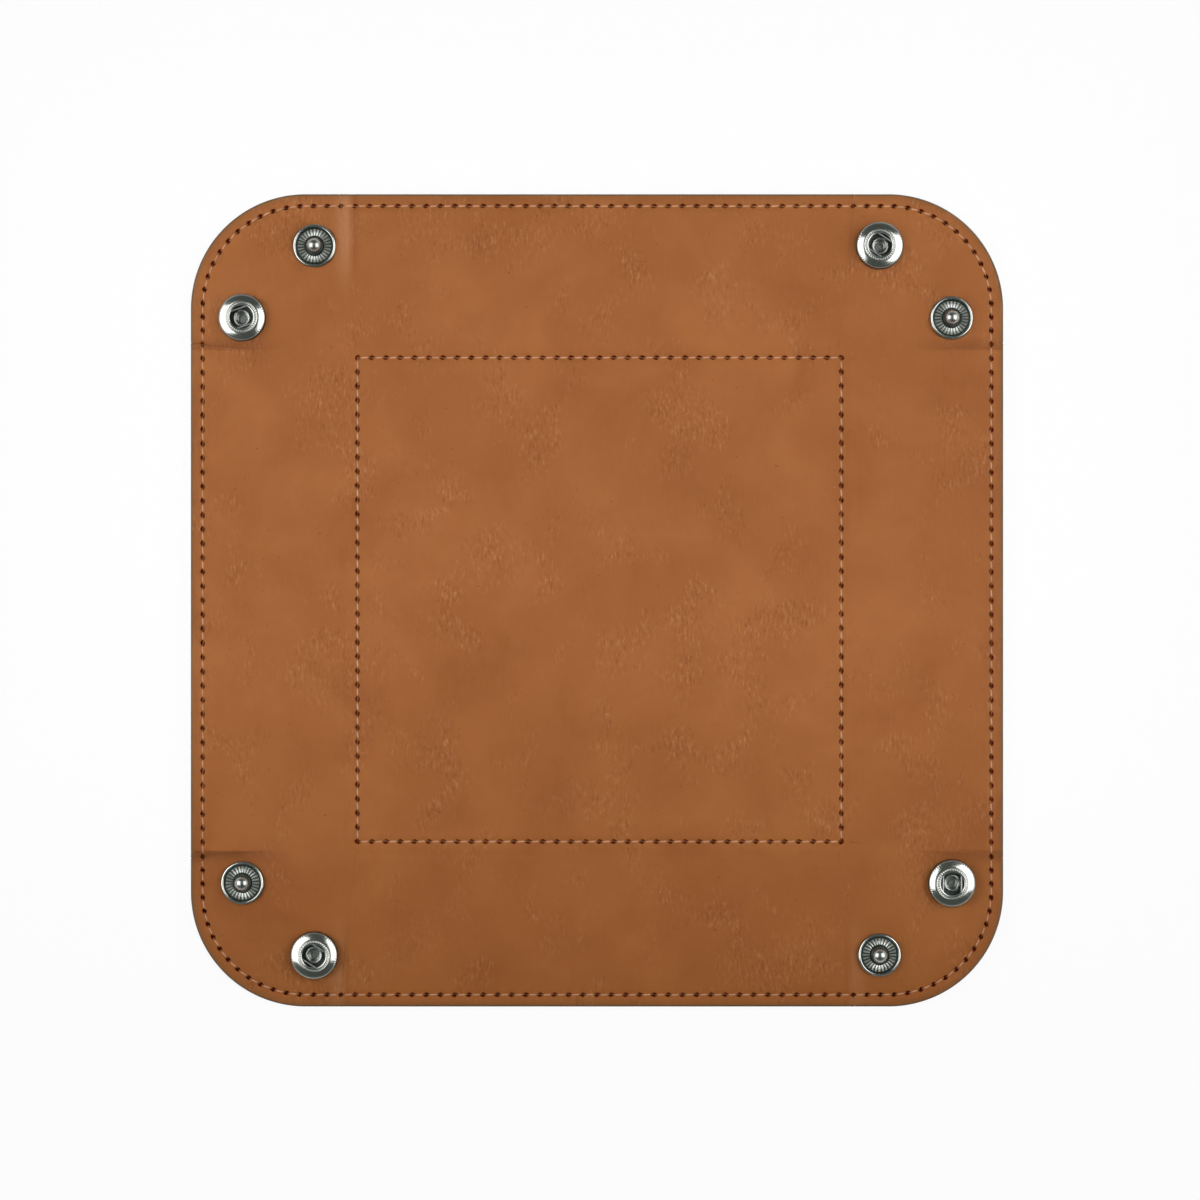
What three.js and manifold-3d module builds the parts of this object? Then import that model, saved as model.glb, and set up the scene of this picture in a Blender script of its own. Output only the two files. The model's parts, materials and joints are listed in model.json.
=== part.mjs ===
// A folding dice tray, lying flat with its four corners unsnapped.
// Two square sheets of leatherette are sewn together over a floor board and four wall boards.
// Each corner folds into two flaps and a narrow fold between them, and snaps shut to raise the walls.
// Units are millimetres. The origin is at the centre of the underside, with +Z up.

import * as THREE from 'three';
import { mergeVertices } from 'three/addons/utils/BufferGeometryUtils.js';
import Module from 'manifold-3d';

const wasm = await Module();
wasm.setup();

const degrees = THREE.MathUtils.degToRad;

// The sewn sheet
const SIDE = 203.2;
const CORNER_RADIUS = 28.7;
const LEATHER = 1.1;
const BOARD = 0.7;
const GLUE = 0.05;
const INNER_SEAM = 60.5;
const OUTER_SEAM_INSET = 3.0;
const SEAM_CLEARANCE = 1.4;
const THREAD_WIDTH = 0.6;
const THREAD_HEIGHT = 0.25;

// The folds
const FOLD_LINE = 63.5;
const FOLD_GAP = 0.3;
const BOARD_TO_FOLD = 1.7;
const WALL_ANGLE = degrees(84);
const CREASE_SLOT = 0.3;
const CREASE_SPREAD = degrees(0.74);
const CREASE_PLAY = degrees(0.5);

// The snaps, measured up from the leather that they sit on
const SNAP_FAR = 88.6;
const SNAP_NEAR = 70.6;
const SNAP_PLAY = 0.4;
const STUD_RADIUS = 5.4;
const STUD_RIM = 1.0;
const STUD_HEIGHT = 3.4;
const SOCKET_RADIUS = 6.0;
const SOCKET_HEIGHT = 3.0;
const SOCKET_FLOOR = 0.6;
const SOCKET_HOLE = 2.75;
const CAP_RADIUS = 5.8;
const RIVET_RADIUS = 4.9;
const RIVET_POST = 0.95;
const CAP_POST = 1.5;
const POST_CLEARANCE = 0.25;
const WIRE_RADIUS = 0.22;
const WIRE_HEIGHT = 2.0;
const WIRE_OFFSET = 2.07;
const WIRE_ANGLES = [degrees(-33), degrees(19), degrees(-33), degrees(90)];

// Smoothness of round stretches
const LATHE_SIDES = 20;
const ARC_STEPS = 8;
const WIRE_SIDES = 6;
const WIRE_STEPS = 22;

// Sizes that follow from those above
const HALF = SIDE / 2;
const TOP = 2 * LEATHER + BOARD + 2 * GLUE;
const UPPER_SHEET = TOP - LEATHER;
const BOARD_LEVEL = LEATHER + GLUE;
const CORNER_UNDERSIDE = TOP - 2 * LEATHER - GLUE;
const CAP_THICKNESS = CORNER_UNDERSIDE - GLUE;
const SNAP_STACK = SOCKET_HEIGHT + STUD_RIM + SNAP_PLAY;
const CHAMFER = SNAP_STACK / Math.SQRT2;
const ARC_CENTRE = HALF - CORNER_RADIUS;
const CREASE_ANGLE = Math.atan(Math.cos(WALL_ANGLE));
const CREASE_BEVEL = Math.acos(Math.sin(WALL_ANGLE) / Math.SQRT2) / 2 + CREASE_PLAY;
const CREASE_START = new THREE.Vector3(FOLD_LINE, FOLD_LINE - CHAMFER, TOP);

const SIDES = ['right', 'back', 'left', 'front'];
const CORNERS = ['back_right', 'back_left', 'front_left', 'front_right'];

const leatherette = new THREE.MeshStandardMaterial({ color: 0xa0643a, roughness: 0.6, metalness: 0 });
const greyBoard = new THREE.MeshStandardMaterial({ color: 0x8f8778, roughness: 0.9, metalness: 0 });
const nickel = new THREE.MeshStandardMaterial({ color: 0xc4c1b6, roughness: 0.2, metalness: 1 });
const springWire = new THREE.MeshStandardMaterial({ color: 0xb5b3aa, roughness: 0.3, metalness: 1 });
const sewingThread = new THREE.MeshStandardMaterial({ color: 0xdca980, roughness: 0.8, metalness: 0 });

// Closed solids for cutting

function toSolid(geometry) {
  const bare = geometry.index ? geometry.toNonIndexed() : geometry.clone();
  bare.deleteAttribute('normal');
  bare.deleteAttribute('uv');
  const welded = mergeVertices(bare, 1e-5);
  const mesh = new wasm.Mesh({
    numProp: 3,
    vertProperties: new Float32Array(welded.attributes.position.array),
    triVerts: new Uint32Array(welded.index.array),
  });
  return new wasm.Manifold(mesh);
}

function toGeometry(solid) {
  const mesh = solid.getMesh();
  const geometry = new THREE.BufferGeometry();
  geometry.setAttribute('position', new THREE.BufferAttribute(mesh.vertProperties, 3));
  geometry.setIndex(new THREE.BufferAttribute(mesh.triVerts, 1));
  geometry.computeVertexNormals();
  return geometry;
}

// Everything beyond a plane through a point, on the side that outward points to.
function beyondPlane(point, outward) {
  const block = new THREE.BoxGeometry(SIDE, SIDE, SIDE);
  block.translate(0, 0, SIDE / 2);
  const turn = new THREE.Quaternion().setFromUnitVectors(new THREE.Vector3(0, 0, 1), outward);
  block.applyQuaternion(turn);
  block.translate(point.x, point.y, point.z);
  return toSolid(block);
}

// The bevelled edge of a panel at a crease that folds towards the underside.
// towards is the level direction from the panel to its neighbour across the crease.
function creaseCut(start, towards) {
  const point = start.clone().addScaledVector(towards, -CREASE_SLOT / 2);
  const outward = towards.clone().multiplyScalar(Math.cos(CREASE_BEVEL));
  outward.z = -Math.sin(CREASE_BEVEL);
  return beyondPlane(point, outward);
}

function sheet(shape, level, thickness) {
  const geometry = new THREE.ExtrudeGeometry(shape, {
    depth: thickness,
    bevelEnabled: false,
    curveSegments: ARC_STEPS,
  });
  geometry.translate(0, 0, level);
  return geometry;
}

function roundHole(x, y, radius) {
  const hole = new THREE.Path();
  hole.absarc(x, y, radius, 0, 2 * Math.PI, true);
  return hole;
}

function polygon(points) {
  return new THREE.Shape(points.map(([x, y]) => new THREE.Vector2(x, y)));
}

// The same piece on the other side of the corner's diagonal.
function acrossDiagonal(geometry) {
  const swap = new THREE.Matrix4().set(0, 1, 0, 0, 1, 0, 0, 0, 0, 0, 1, 0, 0, 0, 0, 1);
  const mirrored = geometry.clone().applyMatrix4(swap);
  const corners = mirrored.index.array;
  for (let first = 0; first < corners.length; first += 3) {
    const second = corners[first + 1];
    corners[first + 1] = corners[first + 2];
    corners[first + 2] = second;
  }
  mirrored.computeVertexNormals();
  return mirrored;
}

// The floor: a square with its corners cut back to the corner folds

function floorOutline() {
  const edge = FOLD_LINE - FOLD_GAP / 2;
  const cut = edge - CHAMFER;
  return polygon([
    [edge, -cut], [edge, cut], [cut, edge], [-cut, edge],
    [-edge, cut], [-edge, -cut], [-cut, -edge], [cut, -edge],
  ]);
}

function floorBoard() {
  const width = 2 * (INNER_SEAM - SEAM_CLEARANCE);
  const board = new THREE.BoxGeometry(width, width, BOARD);
  board.translate(0, 0, BOARD_LEVEL + BOARD / 2);
  return board;
}

function innerSeamThread() {
  const outer = INNER_SEAM + THREAD_WIDTH / 2;
  const inner = INNER_SEAM - THREAD_WIDTH / 2;
  const ring = polygon([[-outer, -outer], [outer, -outer], [outer, outer], [-outer, outer]]);
  ring.holes.push(polygon([[-inner, -inner], [-inner, inner], [inner, inner], [inner, -inner]]));
  return sheet(ring, TOP + GLUE, THREAD_HEIGHT);
}

// A wall: a panel from the floor's fold to the rim, bevelled where it meets the corner flaps

function wallSheet(level) {
  const near = FOLD_LINE + FOLD_GAP / 2;
  const blank = sheet(polygon([[near, -HALF], [HALF, -HALF], [HALF, HALF], [near, HALF]]), level, LEATHER);
  const slant = CREASE_ANGLE - CREASE_SPREAD;
  const left = new THREE.Vector3(-Math.sin(slant), Math.cos(slant), 0);
  const right = new THREE.Vector3(left.x, -left.y, 0);
  const mirroredStart = new THREE.Vector3(CREASE_START.x, -CREASE_START.y, TOP);
  const trimmed = toSolid(blank)
    .subtract(creaseCut(CREASE_START, left))
    .subtract(creaseCut(mirroredStart, right));
  return toGeometry(trimmed);
}

function wallBoard() {
  const near = FOLD_LINE + BOARD_TO_FOLD;
  const far = HALF - OUTER_SEAM_INSET - SEAM_CLEARANCE;
  const halfLength = (x) => CREASE_START.y + (x - FOLD_LINE) * Math.tan(CREASE_ANGLE) - BOARD_TO_FOLD;
  const outline = polygon([
    [near, -halfLength(near)], [far, -halfLength(far)],
    [far, halfLength(far)], [near, halfLength(near)],
  ]);
  return sheet(outline, BOARD_LEVEL, BOARD);
}

// A corner: two flaps either side of a narrow fold along the diagonal

function studFlapSheet(level, holeRadius) {
  const offset = (SNAP_STACK + FOLD_GAP) / 2;
  const arcEnd = Math.PI / 4 - Math.asin(offset / CORNER_RADIUS);
  const tail = FOLD_LINE - CHAMFER;
  const outline = new THREE.Shape();
  outline.moveTo(tail, tail - offset * Math.SQRT2);
  outline.lineTo(HALF, tail - offset * Math.SQRT2);
  outline.lineTo(HALF, ARC_CENTRE);
  outline.absarc(ARC_CENTRE, ARC_CENTRE, CORNER_RADIUS, 0, arcEnd, false);
  outline.holes.push(roundHole(SNAP_FAR, SNAP_NEAR, holeRadius));
  const slant = CREASE_ANGLE + CREASE_SPREAD;
  const right = new THREE.Vector3(Math.sin(slant), -Math.cos(slant), 0);
  const trimmed = toSolid(sheet(outline, level, LEATHER)).subtract(creaseCut(CREASE_START, right));
  return toGeometry(trimmed);
}

function cornerFoldSheet(level) {
  const halfWidth = (SNAP_STACK - FOLD_GAP) / 2;
  const near = FOLD_LINE * Math.SQRT2 - CHAMFER / Math.SQRT2 + FOLD_GAP / 2;
  const arcEnd = Math.asin(halfWidth / CORNER_RADIUS);
  const outline = new THREE.Shape();
  outline.moveTo(near, halfWidth);
  outline.lineTo(near, -halfWidth);
  outline.absarc(ARC_CENTRE * Math.SQRT2, 0, CORNER_RADIUS, -arcEnd, arcEnd, false);
  const strip = sheet(outline, level, LEATHER);
  strip.rotateZ(Math.PI / 4);
  return strip;
}

// The snaps: lathe profiles run from the underside outwards and over the top

function turned(profile) {
  const points = profile.map(([radius, height]) => new THREE.Vector2(radius, height));
  const geometry = new THREE.LatheGeometry(points, LATHE_SIDES);
  geometry.rotateX(Math.PI / 2);
  return geometry;
}

function stud() {
  return turned([
    [0, 2.6], [0.9, 2.5], [1.35, 2.1], [1.35, 0.45], [1.05, 0.45], [1.05, GLUE],
    [5.0, GLUE], [STUD_RADIUS, 0.4], [5.25, 0.85], [4.85, STUD_RIM], [4.4, 0.85], [4.2, 0.5],
    [2.55, 0.5], [2.25, 0.7], [1.75, 1.5], [1.75, 1.8], [2.0, 2.4], [1.9, 2.85],
    [1.35, 3.25], [0.7, STUD_HEIGHT], [0, STUD_HEIGHT],
  ]);
}

function studRivet() {
  const head = -(TOP - CAP_THICKNESS);
  return turned([
    [0, -TOP], [4.3, -TOP], [RIVET_RADIUS, head - 0.25], [RIVET_RADIUS, head],
    [RIVET_POST, head], [RIVET_POST, 0.6], [1.2, 0.75], [1.2, 1.1], [0.8, 1.3], [0, 1.3],
  ]);
}

function socket() {
  return turned([
    [1.68, GLUE], [5.6, GLUE], [SOCKET_RADIUS, 0.35], [SOCKET_RADIUS, 1.7], [5.75, 2.1],
    [4.9, 2.6], [3.7, SOCKET_HEIGHT], [3.1, SOCKET_HEIGHT], [SOCKET_HOLE, 2.8], [SOCKET_HOLE, 2.45],
    [5.1, 2.3], [5.2, 1.6], [5.1, SOCKET_FLOOR], [1.68, SOCKET_FLOOR], [1.68, GLUE],
  ]);
}

function socketCap() {
  const head = -(TOP - CAP_THICKNESS);
  return turned([
    [0, -TOP], [5.2, -TOP], [CAP_RADIUS, head - 0.3], [CAP_RADIUS, head], [CAP_POST, head],
    [CAP_POST, 0.65], [1.86, 0.7], [1.8, 0.85], [1.55, 0.9], [1.3, 0.8], [1.2, 0.5],
    [1.2, -1.6], [0, -1.6],
  ]);
}

// A hairpin of wire whose two straight legs grip the stud's neck.
function socketSpring() {
  const legStart = -3.9;
  const legEnd = 3.1;
  const bend = 4.5;
  const route = new THREE.CatmullRomCurve3([
    new THREE.Vector3(legStart, WIRE_OFFSET, 0),
    new THREE.Vector3(0, WIRE_OFFSET, 0),
    new THREE.Vector3(legEnd, WIRE_OFFSET, 0),
    new THREE.Vector3(bend, 0, 0),
    new THREE.Vector3(legEnd, -WIRE_OFFSET, 0),
    new THREE.Vector3(0, -WIRE_OFFSET, 0),
    new THREE.Vector3(legStart, -WIRE_OFFSET, 0),
  ], false, 'centripetal');
  const section = new THREE.Shape();
  for (let step = 0; step < WIRE_SIDES; step += 1) {
    const angle = (2 * Math.PI * step) / WIRE_SIDES;
    const x = WIRE_RADIUS * Math.cos(angle);
    const y = WIRE_RADIUS * Math.sin(angle);
    if (step === 0) section.moveTo(x, y);
    else section.lineTo(x, y);
  }
  return new THREE.ExtrudeGeometry(section, { steps: WIRE_STEPS, extrudePath: route });
}

// Assembly

function piece(name, geometry, material) {
  const mesh = new THREE.Mesh(geometry, material);
  mesh.name = name;
  return mesh;
}

function placedAt(mesh, x, y, turn = 0, height = 0) {
  mesh.position.set(x, y, TOP + height);
  mesh.rotation.z = turn;
  return mesh;
}

const tray = new THREE.Group();
tray.add(piece('base_top_leather', sheet(floorOutline(), UPPER_SHEET, LEATHER), leatherette));
tray.add(piece('base_bottom_leather', sheet(floorOutline(), 0, LEATHER), leatherette));
tray.add(piece('base_board', floorBoard(), greyBoard));
tray.add(piece('inner_seam_thread', innerSeamThread(), sewingThread));

const shapes = {
  wallTop: wallSheet(UPPER_SHEET),
  wallBottom: wallSheet(0),
  wallBoard: wallBoard(),
  foldTop: cornerFoldSheet(UPPER_SHEET),
  foldBottom: cornerFoldSheet(CORNER_UNDERSIDE),
  studFlapTop: studFlapSheet(UPPER_SHEET, RIVET_POST + POST_CLEARANCE),
  studFlapBottom: studFlapSheet(CORNER_UNDERSIDE, RIVET_POST + POST_CLEARANCE),
  socketFlapTop: acrossDiagonal(studFlapSheet(UPPER_SHEET, CAP_POST + POST_CLEARANCE)),
  socketFlapBottom: acrossDiagonal(studFlapSheet(CORNER_UNDERSIDE, CAP_POST + POST_CLEARANCE)),
  stud: stud(),
  studRivet: studRivet(),
  socket: socket(),
  socketSpring: socketSpring(),
  socketCap: socketCap(),
};

SIDES.forEach((side, index) => {
  const corner = CORNERS[index];
  const turn = (index * Math.PI) / 2;
  const quarter = new THREE.Group();
  quarter.rotation.z = turn;

  quarter.add(piece(`${side}_wall_top_leather`, shapes.wallTop, leatherette));
  quarter.add(piece(`${side}_wall_bottom_leather`, shapes.wallBottom, leatherette));
  quarter.add(piece(`${side}_wall_board`, shapes.wallBoard, greyBoard));
  quarter.add(piece(`${corner}_fold_top_leather`, shapes.foldTop, leatherette));
  quarter.add(piece(`${corner}_fold_bottom_leather`, shapes.foldBottom, leatherette));

  quarter.add(piece(`${corner}_stud_flap_top_leather`, shapes.studFlapTop, leatherette));
  quarter.add(piece(`${corner}_stud_flap_bottom_leather`, shapes.studFlapBottom, leatherette));
  quarter.add(placedAt(piece(`${corner}_stud`, shapes.stud, nickel), SNAP_FAR, SNAP_NEAR));
  quarter.add(placedAt(piece(`${corner}_stud_rivet`, shapes.studRivet, nickel), SNAP_FAR, SNAP_NEAR));

  quarter.add(piece(`${corner}_socket_flap_top_leather`, shapes.socketFlapTop, leatherette));
  quarter.add(piece(`${corner}_socket_flap_bottom_leather`, shapes.socketFlapBottom, leatherette));
  quarter.add(placedAt(piece(`${corner}_socket`, shapes.socket, nickel), SNAP_NEAR, SNAP_FAR));
  quarter.add(placedAt(piece(`${corner}_socket_cap`, shapes.socketCap, nickel), SNAP_NEAR, SNAP_FAR));
  const spring = piece(`${corner}_socket_spring`, shapes.socketSpring, springWire);
  quarter.add(placedAt(spring, SNAP_NEAR, SNAP_FAR, WIRE_ANGLES[index] - turn, WIRE_HEIGHT));

  tray.add(quarter);
});

export default tray;
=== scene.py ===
"""Looks of a folding dice tray: two sewn sheets of leatherette over boards, with a snap at each corner."""

import json
import math

import bmesh
import bpy
from bpy.props import FloatProperty, FloatVectorProperty, IntProperty, PointerProperty
from mathutils import Matrix, Vector, noise


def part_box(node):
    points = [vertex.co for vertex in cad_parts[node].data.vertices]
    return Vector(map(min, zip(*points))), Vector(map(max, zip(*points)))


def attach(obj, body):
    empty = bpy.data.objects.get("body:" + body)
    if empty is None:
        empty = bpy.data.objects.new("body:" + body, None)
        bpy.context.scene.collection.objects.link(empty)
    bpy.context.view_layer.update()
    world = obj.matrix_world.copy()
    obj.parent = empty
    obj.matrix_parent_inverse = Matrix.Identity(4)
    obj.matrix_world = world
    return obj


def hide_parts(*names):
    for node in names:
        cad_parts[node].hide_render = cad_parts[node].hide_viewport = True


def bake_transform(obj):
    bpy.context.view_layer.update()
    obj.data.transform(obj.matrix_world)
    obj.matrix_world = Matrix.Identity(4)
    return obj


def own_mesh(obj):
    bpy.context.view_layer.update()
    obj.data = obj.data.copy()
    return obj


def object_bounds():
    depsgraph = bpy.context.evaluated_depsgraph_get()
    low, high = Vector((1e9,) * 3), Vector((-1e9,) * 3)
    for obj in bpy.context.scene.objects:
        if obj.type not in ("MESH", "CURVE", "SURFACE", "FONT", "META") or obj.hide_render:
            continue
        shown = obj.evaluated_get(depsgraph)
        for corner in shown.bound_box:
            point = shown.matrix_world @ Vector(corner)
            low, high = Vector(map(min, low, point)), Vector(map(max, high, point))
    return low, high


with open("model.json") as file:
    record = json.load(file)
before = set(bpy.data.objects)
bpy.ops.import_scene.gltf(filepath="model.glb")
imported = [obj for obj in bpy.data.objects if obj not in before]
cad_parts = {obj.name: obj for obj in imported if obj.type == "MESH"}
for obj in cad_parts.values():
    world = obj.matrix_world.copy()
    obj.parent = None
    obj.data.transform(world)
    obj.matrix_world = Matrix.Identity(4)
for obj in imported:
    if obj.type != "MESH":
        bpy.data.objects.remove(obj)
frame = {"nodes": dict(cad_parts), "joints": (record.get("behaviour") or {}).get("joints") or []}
CAD_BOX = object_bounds()

bl_info = {
    "name": "Folding dice tray",
    "version": (1, 0, 0),
    "blender": (4, 5, 0),
    "location": "3D View > Sidebar > Dice tray",
    "description": "A sewn leatherette dice tray that folds up and snaps at its corners",
    "category": "Object",
}

MM = 0.001
QUARTER_TURN = math.pi / 2
WALLS = ("right", "back", "left", "front")
CORNERS = ("back_right", "back_left", "front_left", "front_right")
JOINTS = {joint["name"]: joint for joint in frame["joints"]}
WALL_FOLD = JOINTS["right_wall_fold"]
CORNER_FOLD = JOINTS["back_right_corner_fold"]

# Shade of the crease mark at each end of a wall, and its distance from the tray's middle line: first the end
# that is next counter-clockwise, then the other. Above zero it is paler, a painted highlight of the crease's
# slope that is partly stretched leatherette, and below zero it is darker, painted shade of the crease.
CREASE_MARKS = {
    "right": ((-0.55, 62.8 * MM), (-0.6, 62.8 * MM)),
    "back": ((0.85, 61.2 * MM), (-0.2, 62.8 * MM)),
    "left": ((-1.0, 62.8 * MM), (-0.65, 62.8 * MM)),
    "front": ((0.35, 62.8 * MM), (0.4, 62.8 * MM)),
}
MARK_LINES = sorted({mark for ends in CREASE_MARKS.values() for shade, mark in ends})

# Turn of the two spring wires in each socket, in degrees from the right.
WIRE_TURN = {"back_right": -33, "back_left": 19, "front_left": -33, "front_right": 90}

# Radius of the hole for the post that holds each half of a snap, and its length, which goes right through.
POST_RADIUS = {"stud": 0.97 * MM, "socket": 1.52 * MM}
POST_HOLE_LENGTH = 20 * MM

# The two sheets: whether it is the upper one, its name, and the word for it in the CAD nodes' names.
LAYERS = ((True, "upper", "top"), (False, "lower", "bottom"))

# The two flaps of a corner: whether it is the mirrored one, and the half of the snap that it carries.
SNAP_HALVES = ((False, "stud"), (True, "socket"))

# Depth and reach of the dips in the upper face, where a snap's dip starts, and how far before a crease the
# dip at a corner's fold does.
FLOOR_SEAM_REACH = 1.3 * MM
RIM_SEAM_REACH = 1.5 * MM
FOLD_DIP, FOLD_REACH = 0.12 * MM, 1.6 * MM
RIM_DROP, RIM_REACH = 0.16 * MM, 2.4 * MM
MARK_DIP, MARK_REACH = 0.13 * MM, 0.55 * MM
SNAP_DIP, SNAP_EDGE, SNAP_REACH = 0.12 * MM, 5.4 * MM, 3.2 * MM
CORNER_DIP, CORNER_REACH, CORNER_START = 0.05 * MM, 1.5 * MM, 0.5 * MM

# Waves in the upper face: height, turns in a metre and place in the noise. They calm down towards a crease.
WAVES = ((0.07 * MM, 45, 0.3), (0.02 * MM, 190, 4.1))
WAVE_CALM = 3.0 * MM
DIP_CALM = 0.8 * MM

# How far past a wall's fold its crease marks start and are full.
MARK_FADE = (10 * MM, 28 * MM)

# Crease marks across their width: where a pale one and a dark one start, are full, begin to fade and end, and
# the half width of the darker line beside a pale one. A pale mark is painted highlight, and a dark one and the
# line are painted shade.
PALE_RISE, PALE_FADE = (-0.5 * MM, 1.5 * MM), (1.5 * MM, 6.0 * MM)
DARK_RISE, DARK_FADE = (-0.3 * MM, 0), (0.3 * MM, 4.2 * MM)
PALE_LINE = 0.6 * MM

# Slopes in the underside at the ends of the boards, measured outwards from the floor's seam, a wall's fold,
# the rim and a crease.
FLOOR_BOARD_SLOPE = (-1.3 * MM, -0.3 * MM)
FOLD_BOARD_SLOPE = (0.6 * MM, 1.6 * MM)
RIM_BOARD_SLOPE = (-4.3 * MM, -3.3 * MM)
CREASE_BOARD_SLOPE = (-2.7 * MM, -1.7 * MM)

# Depth and reach of the seams' dips in the underside.
UNDER_DIP = 0.12 * MM
UNDER_FLOOR_REACH = 0.9 * MM
UNDER_RIM_REACH = 1.3 * MM

# Half the width in which the underside goes over from a wall to a corner flap.
PINCH_STEP = 1.0 * MM

# Spacing of the points of a sheet, and turn and number of the cuts that round half a corner.
COARSE = 2 * MM
UPPER_FLAP_SPACING = 0.5 * MM
LOWER_FLAP_SPACING = 0.7 * MM
STRIP_SPACING = 0.5 * MM
GUSSET_SPACING = 0.4 * MM
CORNER_STEP = math.radians(2.5)
CORNER_CUTS = 18

# Steps in which the sheets bend over half a wall's fold and beside a corner's diagonal.
WALL_BEND_STEPS = 6
FLAP_BEND_STEPS = 8

# Share of the spacing under which a point beside a flap's outline joins it.
SLIVER = 0.3

# Flat sheets before their creases are cut: spare length of a wall, and width of a flap.
WALL_SPARE = 0.3 * MM
FLAP_WIDTH = 30 * MM

# Closer rows of points, in millimetres from the middle of a seam, from a crease and from a crease mark.
SEAM_ROWS = (-1.5, -1.0, -0.6, -0.3, 0, 0.3, 0.6, 1.0, 1.5)
CREASE_ROWS = (0, 0.3, 0.6, 0.9, 1.3, 1.7)
FLAP_MARK_ROWS = (-0.55, -0.3, 0, 0.3, 0.6)
WALL_MARK_ROWS = (*FLAP_MARK_ROWS, 1.1)

# Single rows past a wall's fold and inside its rim, and the room that rows keep from the floor sheet's edge.
FOLD_ROW, RIM_ROW = 2.1 * MM, 1.0 * MM
ROW_ROOM = 0.1 * MM

# A point this close to a line counts as on it, and at the rim this close. Closer ones are the same point.
ON_LINE = 2e-6
ON_RIM = 0.02 * MM
SAME_POINT = 0.001 * MM

# Height over the joint of the sheets from which crease marks show.
MARK_LEVEL = 0.2 * MM

# Where the dull band beside the rim starts and is full.
RIM_BAND = (-2.2 * MM, -0.2 * MM)

# Steeper than half the folded crease by this much, the bevels at a crease stay clear of each other.
BEVEL_ROOM = math.radians(2.5)

# How far over the upper face the two bevels at a crease would meet, which keeps them apart: everywhere, and
# added at the crease's foot, and where past the fold that fades out.
CREASE_ROOM = 0.04 * MM
FOOT_ROOM = 0.08 * MM
FOOT_FADE = (0.4 * MM, 2.0 * MM)

# Half the gap between the upper and the lower sheet.
SHEET_GAP = 0.006 * MM

# Room in the lower sheets' pockets: round a gusset, beside and under a board, and over both to open them.
GUSSET_ROOM = 0.05 * MM
BOARD_SIDE_ROOM = 0.06 * MM
BOARD_UNDER_ROOM = 0.03 * MM
POCKET_OPEN = 0.2 * MM

# Needle holes: depth, share of it by which the middle lies under the face, radius of the tip where the mouth's
# is 0.5, how far the diamond's sides are drawn in, and its slant to the seam.
HOLE_DEPTH = 1.2 * MM
HOLE_SUNK = 0.38
HOLE_TIP = 0.16
HOLE_FLAT = 0.92
HOLE_SLANT = math.radians(14)

# Stitches: share of the way between two holes, slant to the seam, height beside the width, how much the ends
# flare, dip of the ends, rise of the middle, and the room that the first one keeps from a crease in the upper
# and the lower sheets.
STITCH_SHARE = 0.86
STITCH_SLANT = math.radians(4)
STITCH_FLAT = 0.8
STITCH_FLARE = 0.22
STITCH_DIP, STITCH_RISE = 0.62 * MM, 0.04 * MM
UPPER_STITCH_ROOM, LOWER_STITCH_ROOM = 0.25 * MM, 0.1 * MM

# Crease fillers: start past the fold, distance inside the rim, depth of the ridge, room beside the sheets,
# and height over the underside of the wall and of the corner flap.
FILLER_START = 0.8 * MM
FILLER_END = 0.05 * MM
FILLER_DEPTH = 0.9 * MM
FILLER_ROOM = 0.08 * MM
FILLER_WALL_LIFT, FILLER_FLAP_LIFT = 0.06 * MM, 0.02 * MM

# Sewing thread: its strands, and the turns of their lay along a stitch.
STRANDS = 2
LAY_TURNS = 4.0


def length(name, description, default):
    """A length setting in metres."""
    return FloatProperty(name=name, description=description, default=default, unit="LENGTH", precision=5)


def tone(name, description, default):
    """A colour setting, given as a screen colour from 0 to 255 and kept as a linear colour."""
    linear = tuple(((part / 255 + 0.055) / 1.055) ** 2.4 for part in default)
    return FloatVectorProperty(
        name=name, description=description, default=linear, subtype="COLOR", size=3, min=0, max=1
    )


def count(name, description, default):
    """A whole number setting."""
    return IntProperty(name=name, description=description, default=default)


def angle(name, description, degrees):
    """An angle setting, given in degrees and kept in radians."""
    return FloatProperty(name=name, description=description, default=math.radians(degrees), subtype="ANGLE")


def power(name, description, watts):
    """A lamp's power setting."""
    return FloatProperty(name=name, description=description, default=watts, unit="POWER")


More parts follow.
